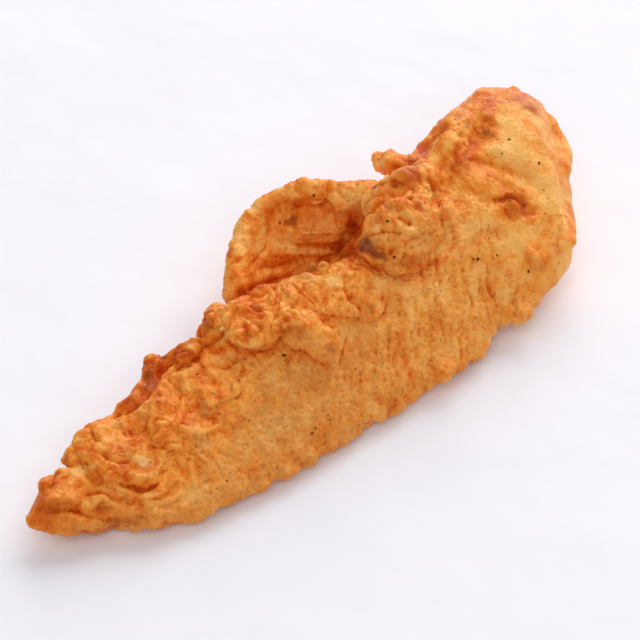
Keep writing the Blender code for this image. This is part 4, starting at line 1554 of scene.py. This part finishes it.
    # Besides the batter's own patches, some spots are painted shade in creases and under overhangs, and
    # a few make one painted highlight; the headings below say which.
    spots: tuple[Spot, ...] = (
        # The tip and its nodules.
        *patches(Paint.TONE, (-0.08, 50, 510, 20, 16), (0.2, 78, 470, 14, 8, 40),
            (0.2, 80, 470, 14, 7, -30), (0.18, 100, 445, 8, 5), (-0.1, 44, 506, 16, 20, 20),
            (0.2, 98, 486, 14, 12), (0.2, 77, 440, 9, 8)),
        *patches(Paint.BROWN, (0.52, 92, 433, 3, 7, 30), (0.3, 58, 506, 18, 10),
            (0.12, 44, 516, 11, 14, 10), (0.45, 102, 508, 10, 5), (0.45, 41, 492, 4, 10, -30)),
        # The swirl of folds behind the notch, and the valley below it. The pale tone and dough at
        # 141, 461 are a painted highlight, and the darker tone and brown under the notch, at 124, 522,
        # are painted shade.
        *patches(Paint.TONE, (-0.14, 202, 412, 20, 9, 10), (-0.22, 160, 438, 14, 12),
            (-0.12, 132, 482, 24, 6, -15), (0.4, 141, 461, 7, 4, -30), (0.2, 155, 500, 14, 6),
            (0.3, 190, 496, 18, 9), (0.15, 130, 493, 28, 6, -15), (-0.2, 125, 406, 16, 5, -35),
            (0.2, 205, 410, 10, 6), (0.2, 205, 438, 12, 6), (-0.25, 124, 522, 16, 5),
            (0.15, 213, 440, 12, 6), (0.15, 153, 433, 8, 8), (-0.15, 127, 449, 10, 8),
            (-0.2, 123, 462, 9, 5), (0.25, 140, 420, 24, 9, 35), (0.2, 150, 457, 8, 6),
            (0.2, 193, 460, 10, 10), (0.3, 143, 460, 9, 5, -30), (-0.3, 150, 427, 10, 9),
            (0.2, 207, 407, 9, 7)),
        *patches(Paint.DOUGH_AND_HIGHLIGHT, (0.9, 142, 460, 8, 5, -30), (0.3, 150, 464, 12, 4)),
        *patches(Paint.BROWN, (0.45, 139, 419, 8, 4, 20), (0.6, 141, 517, 5, 3),
            (0.25, 130, 452, 16, 5, 10), (0.3, 196, 508, 14, 3, 15), (0.6, 122, 521, 16, 4, -5),
            (0.3, 120, 447, 20, 10, 20), (0.4, 146, 471, 17, 8)),
        # The crest over the folds.
        *patches(Paint.TONE, (-0.25, 150, 380, 8, 24, 25), (-0.2, 182, 350, 20, 5, -20),
            (-0.15, 210, 380, 8, 12), (-0.3, 154, 374, 8, 26, -35), (-0.3, 140, 400, 9, 7),
            (-0.25, 177, 357, 10, 6, 30), (0.25, 187, 346, 8, 5)),
        *patches(Paint.BROWN, (0.68, 151, 371, 4, 8, -20), (0.38, 180, 378, 5, 12, 10),
            (0.55, 150, 380, 6, 18, -20), (0.4, 150, 378, 7, 22, 25)),
        # The fins behind the crest.
        *patches(Paint.TONE, (-0.2, 131, 401, 24, 8, 42), (-0.2, 192, 346, 12, 9, 30),
            (-0.25, 206, 325, 11, 20, -15), (-0.2, 186, 358, 34, 8, 20)),
        *patches(Paint.BROWN, (0.35, 170, 358, 16, 6, 8), (0.35, 130, 399, 20, 6, 42),
            (0.45, 194, 347, 11, 9, 45), (0.4, 206, 325, 9, 18, -15)),
        # The deep crease at the pocket's lower left end: deep orange and brown there, partly painted
        # shade in the crease.
        *patches(Paint.TONE, (-0.55, 244, 291, 12, 6, 20), (-0.35, 272, 280, 24, 5, 28)),
        *patches(Paint.BROWN, (0.4, 260, 285, 28, 4, 26)),
        # The flap's rim and its pocket. The dark tone and brown at 342, 251 are painted shade in the
        # crease at the pocket's right end.
        *patches(Paint.TONE, (-0.24, 278, 258, 16, 8, 10), (-0.32, 322, 245, 34, 3, -2),
            (-0.2, 270, 218, 5, 20), (0.24, 256, 204, 9, 7), (0.24, 320, 227, 24, 3),
            (0.2, 315, 252, 24, 3), (0.2, 275, 243, 40, 10), (-0.45, 342, 251, 18, 8, -35),
            (0.12, 236, 246, 9, 34, 8), (0.15, 285, 190, 30, 6, -25), (0.25, 294, 240, 14, 6),
            (0.25, 238, 222, 10, 32, 12), (0.2, 305, 190, 16, 8), (0.25, 260, 233, 7, 24),
            (-0.3, 233, 255, 5, 12), (-0.2, 267, 193, 8, 5, 40), (0.3, 317, 237, 16, 5),
            (-0.25, 232, 258, 6, 16), (0.25, 313, 233, 20, 5), (0.2, 267, 210, 8, 7)),
        *patches(Paint.BROWN, (0.95, 291, 222, 8, 4), (0.38, 296, 205, 12, 4),
            (0.35, 342, 252, 16, 7, -35)),
        # The ridge, its dint and the small lumps at its right.
        *patches(Paint.TONE, (-0.3, 247, 332, 6, 8), (-0.28, 374, 316, 12, 4), (-0.24, 208, 335, 8, 10),
            (0.36, 333, 282, 9, 7), (0.24, 296, 273, 14, 4, 30), (-0.15, 278, 306, 22, 10, 40),
            (-0.15, 393, 337, 10, 14), (0.35, 349, 335, 13, 18), (0.2, 390, 282, 14, 6),
            (-0.2, 287, 333, 16, 6), (-0.15, 347, 310, 12, 6), (0.18, 350, 305, 14, 5, -20),
            (-0.3, 247, 337, 9, 6), (0.15, 335, 325, 16, 14), (0.15, 388, 330, 22, 14),
            (-0.3, 243, 278, 9, 10)),
        *patches(Paint.DOUGH_AND_HIGHLIGHT, (0.4, 334, 283, 7, 6), (0.35, 290, 282, 16, 3, 28)),
        *patches(Paint.BROWN, (0.68, 258, 307, 6, 4, -20), (0.41, 309, 279, 12, 8, 30),
            (0.4, 247, 332, 5, 7), (0.52, 372, 310, 5, 5), (0.3, 290, 335, 20, 9),
            (0.25, 293, 278, 54, 5, 25), (0.28, 297, 330, 34, 12, -35)),
        # The lump, its burnt foot and the nub. Along the foot, and at 354, 230 in the crease at the
        # lump's left, the darker tone, brown and burnt brown are partly painted shade.
        *patches(Paint.TONE, (-0.4, 354, 232, 7, 16, 10), (-0.28, 430, 264, 20, 5, 15),
            (-0.32, 427, 148, 5, 12, -40), (-0.28, 400, 182, 18, 3), (0.24, 402, 214, 14, 5, -20),
            (0.28, 412, 229, 5, 3), (-0.35, 354, 228, 7, 16, 10), (-0.15, 413, 258, 24, 8, -15),
            (0.2, 357, 200, 8, 10), (0.2, 377, 162, 8, 9), (0.15, 380, 220, 16, 12),
            (-0.2, 405, 172, 20, 9, -30), (-0.2, 407, 267, 18, 4), (-0.3, 423, 157, 7, 8),
            (-0.25, 413, 257, 10, 5), (0.25, 433, 193, 4, 14), (0.2, 348, 210, 8, 7),
            (0.2, 380, 232, 10, 7)),
        *patches(Paint.BROWN, (0.7, 380, 257, 10, 4, -20), (0.6, 370, 249, 17, 13, -40),
            (0.38, 388, 186, 14, 4), (0.4, 412, 264, 14, 4, 15), (0.52, 422, 206, 4, 9, 30),
            (0.41, 420, 238, 14, 4, -25), (0.3, 354, 232, 6, 16, 10), (0.3, 392, 264, 22, 4, 8),
            (0.35, 405, 172, 20, 9, -30), (0.3, 415, 175, 16, 12, -30)),
        *patches(Paint.BURNT_AND_SHADE, (1.0, 368, 247, 10, 7, -40), (0.6, 382, 257, 12, 3, -15)),
        # The front slope.
        *patches(Paint.TONE, (-0.24, 228, 348, 12, 6), (0.22, 286, 364, 14, 7), (0.2, 266, 371, 10, 6),
            (0.2, 443, 348, 14, 16, 20), (0.15, 473, 303, 8, 14), (-0.2, 290, 363, 8, 6),
            (-0.2, 230, 394, 12, 9), (-0.12, 318, 436, 20, 12, -25), (0.18, 402, 290, 12, 6),
            (0.18, 230, 355, 12, 5), (0.12, 288, 428, 50, 26, 25), (0.3, 313, 370, 14, 7, -20),
            (0.2, 347, 400, 11, 13), (0.2, 453, 320, 13, 11), (-0.15, 316, 430, 16, 28, -20),
            (0.15, 275, 372, 44, 14, -10), (0.15, 352, 393, 20, 12)),
        *patches(Paint.BROWN, (0.52, 515, 311, 3, 10), (0.52, 286, 361, 3, 6), (0.38, 250, 364, 10, 4),
            (0.52, 332, 350, 4, 8), (0.45, 302, 464, 10, 4, 20), (0.25, 270, 346, 22, 4, 5),
            (0.26, 288, 428, 50, 26, 25)),
        # The head.
        *patches(Paint.TONE, (-0.2, 482, 141, 22, 7, 38), (-0.2, 462, 167, 20, 12, 10),
            (-0.3, 500, 168, 30, 5, -20), (-0.2, 487, 116, 28, 13, 48), (-0.25, 531, 104, 26, 8, -38),
            (0.3, 533, 118, 15, 4, -38), (-0.2, 562, 160, 7, 26), (0.3, 515, 150, 15, 42, 22),
            (0.25, 546, 195, 13, 46), (0.3, 456, 141, 26, 5, 45), (-0.22, 515, 204, 22, 8, -12),
            (-0.3, 513, 207, 30, 14, -10), (0.3, 484, 222, 36, 8, 42), (0.35, 511, 243, 15, 13),
            (-0.22, 535, 261, 14, 16), (-0.2, 478, 192, 12, 9), (0.2, 470, 205, 10, 12),
            (-0.25, 441, 200, 4, 20, 15), (0.25, 562, 240, 9, 26), (-0.2, 572, 222, 4, 22),
            (0.25, 561, 260, 10, 24, 15), (-0.3, 497, 130, 6, 15, 20), (-0.3, 500, 217, 10, 7),
            (-0.3, 530, 217, 10, 9), (-0.25, 503, 181, 20, 8, -30), (-0.3, 447, 133, 8, 6, 40),
            (0.25, 490, 247, 12, 12), (0.25, 443, 253, 12, 6, 20)),
        *patches(Paint.BROWN, (0.34, 489, 135, 6, 9, 60), (0.25, 481, 142, 18, 6, 38),
            (0.45, 459, 168, 16, 10, 10), (0.2, 484, 114, 28, 11, 48), (0.5, 462, 113, 9, 5, 40),
            (0.65, 529, 106, 21, 6, -38), (0.6, 514, 199, 11, 3), (0.5, 524, 208, 3, 7),
            (0.6, 500, 201, 4, 3), (0.22, 520, 208, 22, 12, -10), (0.4, 511, 212, 3, 6, 10),
            (0.4, 535, 212, 3, 5), (0.32, 535, 261, 12, 13), (0.35, 441, 200, 4, 16, 15),
            (0.2, 503, 181, 20, 8, -30)),
    )

    def build(self) -> Surface:
        """Fuses the forms, draws the strokes on the skin, wraps it again and adds the relief.

        Returns:
            The crust's surface, in the strip's own frame.
        """
        forms = [self.batter.strip, self.batter.flap, *self.rolls, *self.knobs]
        skin = Surface.joined([form.surface() for form in forms])
        skin = skin.skinned(self.first_voxel, self.first_rounds)
        self.drawn(skin, self.broad)
        normals = skin.normals()
        heights = self.batter.heights(skin.points, normals)
        skin.points += normals * heights[:, None]
        skin = skin.skinned(self.last_voxel, self.last_rounds)
        self.drawn(skin, self.fine)
        normals = skin.normals()
        skin.points += self.batter.fine(skin.points, normals)
        skin.points[:, 2] = np.maximum(skin.points[:, 2], 0)
        return skin

    def drawn(self, skin: Surface, strokes: tuple[Stroke, ...]) -> None:
        """Draws strokes on a skin, on paths that a noise makes a little uneven.

        Args:
            skin: the skin, whose points are moved.
            strokes: the strokes.
        """
        normals = skin.normals()
        uneven = self.stroke_flow.bent(skin.points)
        skin.points += sum(stroke.push(uneven, normals) for stroke in strokes)

    def paint(self, skin: Surface) -> dict[Paint, Array]:
        """Works out where each colour of the finish lies, from the browning and the spots.

        Dough, which is also one painted highlight, and burnt fringes, which are partly painted shade,
        come from the spots alone.

        Args:
            skin: the crust's surface.

        Returns:
            One value of 0 to 1 for each point, by paint.
        """
        fry, points, normals = self.browning, skin.points, skin.normals()
        near, far = (skin.hollows(normals, n) for n in (fry.near_rounds, fry.far_rounds))
        craggy = self.batter.craggy(points, normals)
        calm = self.batter.calm(points)
        tip, head, upper, dry_lost = (ramp(points[:, 0], *span) for span in (
            fry.tip_starts, fry.head_starts, fry.slope_starts, fry.dry_fades))
        streak = fry.streaks.at(fry.streak_flow.bent(points))
        swirl = fry.swirls.at(fry.swirl_flow.bent(points))
        swirl = swirl * (fry.swirl_on_slope + (1 - fry.swirl_on_slope) * craggy)
        lines = ramp(-self.batter.lines(points), *fry.line_depth)
        valley = (1 - fry.valley_lost_in_pocket * calm) * ramp(far, *fry.valley_depth)
        shares = {
            Paint.TONE: fry.tone + fry.crag * craggy + fry.head * head + fry.tip * tip
                        + fry.streak * streak + fry.swirl * swirl + fry.pocket * calm
                        + (fry.line * lines + fry.slope * upper) * (1 - craggy)
                        # Paler crests are partly painted highlight, and deeper creases and valleys
                        # partly painted shade.
                        + fry.crest * ramp(-near, *fry.crest_rise) * craggy
                        + fry.crease * ramp(near, *fry.crease_depth) + fry.valley * valley,
            Paint.DRY_AND_SHADE: (fry.dry - fry.dry_lost * dry_lost) * (1 - craggy) * (1 - head),
            Paint.DOUGH_AND_HIGHLIGHT: np.zeros(len(points)),
            Paint.BROWN: fry.brown * ramp(streak, *fry.brown_streaks) * craggy + fry.brown_tip * tip,
            Paint.BURNT_AND_SHADE: np.zeros(len(points)),
        }
        places, _ = SIGHT.seen(fry.spot_flow.bent(points))
        facing = SIGHT.facing(normals)
        for spot in self.spots:
            shares[spot.paint] = shares[spot.paint] + facing * spot.share(places)
        return {paint: np.clip(share, 0, 1) for paint, share in shares.items()}

    def dress(self) -> Surface:
        """Puts the crust into the scene as its two halves and its underside, painted and finished.

        Returns:
            The crust's surface, which the seasoning is laid on.
        """
        skin = self.build()
        normals, paints = skin.normals(), self.paint(skin)
        material = self.finish.material()
        down = skin.evened(normals, self.under_rounds)[skin.faces, 2].mean(axis=1)
        under = down < self.underside_turn
        right = skin.points[skin.faces, 0].mean(axis=1) > self.halves_meet
        for name, kept in (("crust_tip_half", ~under & ~right), ("crust_head_half", ~under & right),
                           ("crust_underside", under)):
            used, corners = np.unique(skin.faces[kept], return_inverse=True)
            mesh = Surface(placed(skin.points[used]), corners.reshape(-1, 4)).mesh(name)
            for paint, values in paints.items():
                layer = mesh.attributes.new(paint.value, "FLOAT", "POINT")
                layer.data.foreach_set("value", values[used])
            mesh.normals_split_custom_set_from_vertices(normals[used].tolist())
            mesh.materials.append(material)
            shown(name, mesh)
        return skin


def placed(points: Array) -> Array:
    """Turns places in the strip's frame, in millimetres, into the row's frame, in metres."""
    return (points - (*MIDDLE, 0)) * MM


def shown(name: str, mesh: bpy.types.Mesh) -> bpy.types.Object:
    """Args:
        name: the piece's name.
        mesh: its finished mesh, in the row's frame.

    Returns:
        The piece.
    """
    piece = bpy.data.objects.new(name, mesh)
    bpy.context.scene.collection.objects.link(piece)
    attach(piece, "root")
    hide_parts("tender")
    LOG.info("%s: %d faces", name, len(mesh.polygons))
    return piece


@dataclass(frozen=True)
class Grains:
    """Small rough grains that lie on the crust, such as ground pepper or crumbs of batter."""

    name: str
    finish: PlainFinish
    count: int
    half_length: Span
    flatness: float
    seed: int
    placed_by_eye: Points = ()
    # A grain's corners are this much nearer or further than a ball's, and it is this narrow.
    uneven: Span = (0.75, 1.25)
    narrow: Span = (0.5, 1.0)
    # Grains fall where the crust's normal points up by more than this.
    least_up: float = -0.1

    def dress(self, skin: Surface, share: Array) -> bpy.types.Object:
        """Lays the grains on the crust as one mesh.

        Each grain is a rough twelve-cornered ball, squashed along the crust's normal and half
        sunk in it. Those that are listed come first, and the rest fall at random.

        Args:
            skin: the crust's surface.
            share: how likely a grain is at each point.

        Returns:
            The piece.
        """
        rng = np.random.default_rng(self.seed)
        normals = skin.normals()
        chance = share * (normals[:, 2] > self.least_up)
        seats = rng.choice(len(chance), self.count, replace=False, p=chance / chance.sum())
        small, large = self.half_length
        sizes = small * (large / small) ** rng.random(self.count) ** 2
        if self.placed_by_eye:
            places, back = SIGHT.seen(skin.points)
            found = [self.under(places, back, (x, y)) for x, y, _ in self.placed_by_eye]
            seats = np.concatenate([np.array(found), seats])
            sizes = np.concatenate([[half for _, _, half in self.placed_by_eye], sizes])
        corners, faces = self.ball()
        up = normals[seats]
        side = np.cross(up, rng.normal(size=up.shape))
        side /= np.linalg.norm(side, axis=1, keepdims=True)
        other = np.cross(up, side)
        rough = corners[None] * rng.uniform(*self.uneven, (len(seats), len(corners), 1))
        narrow = rng.uniform(*self.narrow, (len(seats), 1, 1))
        local = (rough[..., :1] * side[:, None] + rough[..., 1:2] * narrow * other[:, None]
                 + rough[..., 2:] * self.flatness * up[:, None])
        points = skin.points[seats][:, None] + sizes[:, None, None] * local
        points[..., 2] = np.maximum(points[..., 2], 0)
        all_faces = faces[None] + (np.arange(len(seats)) * len(corners))[:, None, None]
        mesh = bpy.data.meshes.new(self.name)
        mesh.from_pydata(placed(points.reshape(-1, 3)), [], all_faces.reshape(-1, 3).tolist())
        mesh.materials.append(self.finish.material())
        return shown(self.name, mesh)

    @staticmethod
    def under(places: Array, back: Array, pixel: Span) -> int:
        """Finds the point of the crust that is seen at a pixel: near it, and nearest the camera.

        Args:
            places: where the crust's points are seen (n, 2).
            back: how far each lies towards the camera.
            pixel: the pixel.

        Returns:
            The point's number.
        """
        off = np.hypot(*(places - SIGHT.traced((pixel,))).T)
        # Within 0.3 mm all are near enough. Past that a step aside outweighs one to the camera.
        return int((0.3 * back - 4 * np.maximum(off, 0.3)).argmax())

    @staticmethod
    def ball() -> tuple[Array, Array]:
        """A ball of twelve corners: two poles, and two rings of five between them.

        A ring's radius and height are 2 and 1 over the root of 5, as on a regular twenty-sided
        body.

        Returns:
            The corners (12, 3) and the faces (20, 3).
        """
        turn, i = np.arange(5) * 2 * np.pi / 5, np.arange(5)
        k = (i + 1) % 5
        low = np.stack([0.894 * np.cos(turn), 0.894 * np.sin(turn), -0.447 + 0 * turn], axis=1)
        high = low * (-1, -1, -1)
        corners = np.concatenate([[(0, 0, -1.0)], low, high, [(0, 0, 1.0)]])
        opposite, after = 6 + (i + 3) % 5, 6 + (i + 2) % 5
        faces = np.concatenate([
            np.stack([0 * i, 1 + k, 1 + i], axis=1),
            np.stack([1 + i, 1 + k, opposite], axis=1),
            np.stack([1 + i, opposite, after], axis=1),
            np.stack([11 + 0 * i, after, opposite], axis=1),
        ])
        return corners, faces


# The grains of pepper that stand out: each one's pixel in the photograph and its half length.
PEPPER_SEEN: Points = (
    (284, 354, 0.55), (249, 419, 0.34), (329, 415, 0.2), (329, 419, 0.24), (313, 433, 0.3),
    (316, 428, 0.3), (226, 479, 0.24), (184, 455, 0.2), (230, 471, 0.16), (210, 492, 0.15),
    (197, 372, 0.34), (289, 361, 0.16), (300, 362, 0.2), (304, 363, 0.16), (219, 387, 0.14),
    (254, 399, 0.22), (204, 366, 0.18), (313, 195, 0.36), (281, 223, 0.32), (288, 247, 0.24),
    (387, 221, 0.5), (382, 231, 0.26), (394, 257, 0.4), (430, 190, 0.24), (427, 202, 0.24),
    (439, 237, 0.26), (446, 238, 0.24), (334, 294, 0.2), (340, 305, 0.24), (330, 307, 0.2),
    (359, 320, 0.2), (354, 249, 0.22), (332, 250, 0.22), (262, 217, 0.18), (410, 270, 0.22),
    (442, 340, 0.22), (437, 312, 0.24), (429, 290, 0.18), (314, 266, 0.18), (430, 222, 0.2),
    (316, 364, 0.16), (356, 369, 0.16), (384, 362, 0.18), (510, 139, 0.34), (504, 143, 0.22),
    (502, 154, 0.26), (497, 139, 0.22), (545, 190, 0.2), (550, 147, 0.24), (541, 164, 0.34),
    (547, 214, 0.24), (549, 198, 0.2), (479, 260, 0.5), (475, 259, 0.3), (497, 255, 0.3),
    (530, 273, 0.4), (481, 290, 0.28), (442, 292, 0.22), (494, 295, 0.2), (477, 319, 0.28),
    (449, 200, 0.18), (450, 209, 0.18), (524, 206, 0.22), (510, 201, 0.22), (534, 230, 0.18),
    (489, 227, 0.18), (489, 238, 0.2), (495, 181, 0.18), (376, 425, 0.16), (352, 401, 0.16),
)


@dataclass(frozen=True)
class SoftLight:
    """A large round softbox that faces the tender."""

    name: str
    place: Place
    size: float
    power: float
    colour: str

    def build(self) -> None:
        """Hangs the softbox at its place, in metres."""
        data = bpy.data.lights.new(self.name, "AREA")
        data.shape = "DISK"
        data.size = self.size
        data.energy = self.power
        data.color = linear(self.colour)[:3]
        light = bpy.data.objects.new(self.name, data)
        light.location = self.place
        light.rotation_euler = (-light.location).to_track_quat("-Z", "Y").to_euler()
        bpy.context.scene.collection.objects.link(light)


@dataclass(frozen=True)
class Studio:
    """A plain pale floor, a large soft light behind the tender, and the camera."""

    board: PlainFinish = PlainFinish("painted_board", "F6F5F9", "F6F5F9", 0.7, 40)
    floor_half: float = 3.0
    sky_colour: str = "FBFBFF"
    sky_strength: float = 0.42
    key: SoftLight = SoftLight("key", (1.460, 0.760, 1.034), 2.2, 38.0, "FBFBFF")
    fill: SoftLight = SoftLight("fill", (-0.822, -0.947, 1.494), 1.8, 11.6, "FFFFFF")
    sensor: float = 36.0
    picture: float = 640.0
    nearest_seen: float = 0.01

    def build(self) -> None:
        """Builds the floor, the lights and the camera."""
        self.floor()
        self.sky()
        self.key.build()
        self.fill.build()
        self.camera()

    def floor(self) -> None:
        """A wide floor of smooth painted board, half matt."""
        mesh = bpy.data.meshes.new("floor")
        half = self.floor_half
        mesh.from_pydata([(-half, -half, 0), (half, -half, 0), (half, half, 0), (-half, half, 0)],
                         [], [(0, 1, 2, 3)])
        mesh.materials.append(self.board.material())
        floor = bpy.data.objects.new("floor", mesh)
        bpy.context.scene.collection.objects.link(floor)

    def sky(self) -> None:
        """An even pale sky."""
        world = bpy.data.worlds.new("studio")
        world.use_nodes = True
        sky = world.node_tree.nodes["Background"]
        sky.inputs["Color"].default_value = linear(self.sky_colour)
        sky.inputs["Strength"].default_value = self.sky_strength
        bpy.context.scene.world = world

    def camera(self) -> None:
        """A long lens where the photograph's camera stood, aimed at the picture's middle."""
        right, up, back = (Vector(axis) for axis in SIGHT.axes())
        middle = Vector((SIGHT.middle[0] - MIDDLE[0], SIGHT.middle[1] - MIDDLE[1], SIGHT.middle[2]))
        x, y = SIGHT.traced(((self.picture / 2, self.picture / 2),))[0]
        data = bpy.data.cameras.new("camera")
        data.lens = self.sensor * SIGHT.pixels_per_mm * SIGHT.distance / self.picture
        data.sensor_width = self.sensor
        data.clip_start = self.nearest_seen
        camera = bpy.data.objects.new("camera", data)
        camera.location = (middle + back * SIGHT.distance) * MM
        aim = (middle + right * x + up * y) * MM
        camera.rotation_euler = (aim - camera.location).to_track_quat("-Z", "Y").to_euler()
        bpy.context.scene.collection.objects.link(camera)
        bpy.context.scene.camera = camera
        bpy.context.scene.view_settings.view_transform = "Standard"


def main() -> None:
    """Builds the crust, its seasoning and the studio, in that order."""
    logging.basicConfig(level=logging.INFO, format="%(name)s %(message)s")
    crust = Crust()
    skin = crust.dress()
    craggy = crust.batter.craggy(skin.points, skin.normals())
    # Pepper lies everywhere, and shows best on the smooth slope. Crumbs stick to the crags.
    pepper = PlainFinish("ground_black_pepper", "8C4A12", "3C1A06", 0.95, 0.3, shine=0.05)
    Grains("pepper", pepper, count=1100, half_length=(0.05, 0.18), flatness=0.4, seed=11,
           placed_by_eye=PEPPER_SEEN).dress(skin, 1.2 - 0.5 * craggy)
    crumb = PlainFinish("fried_batter_crumb", "E08A3A", "C8641C", 0.5, 0.8)
    Grains("crumbs", crumb, count=600, half_length=(0.15, 0.5), flatness=0.45,
           seed=12).dress(skin, craggy**2)
    Studio().build()


if __name__ == "__main__":
    main()
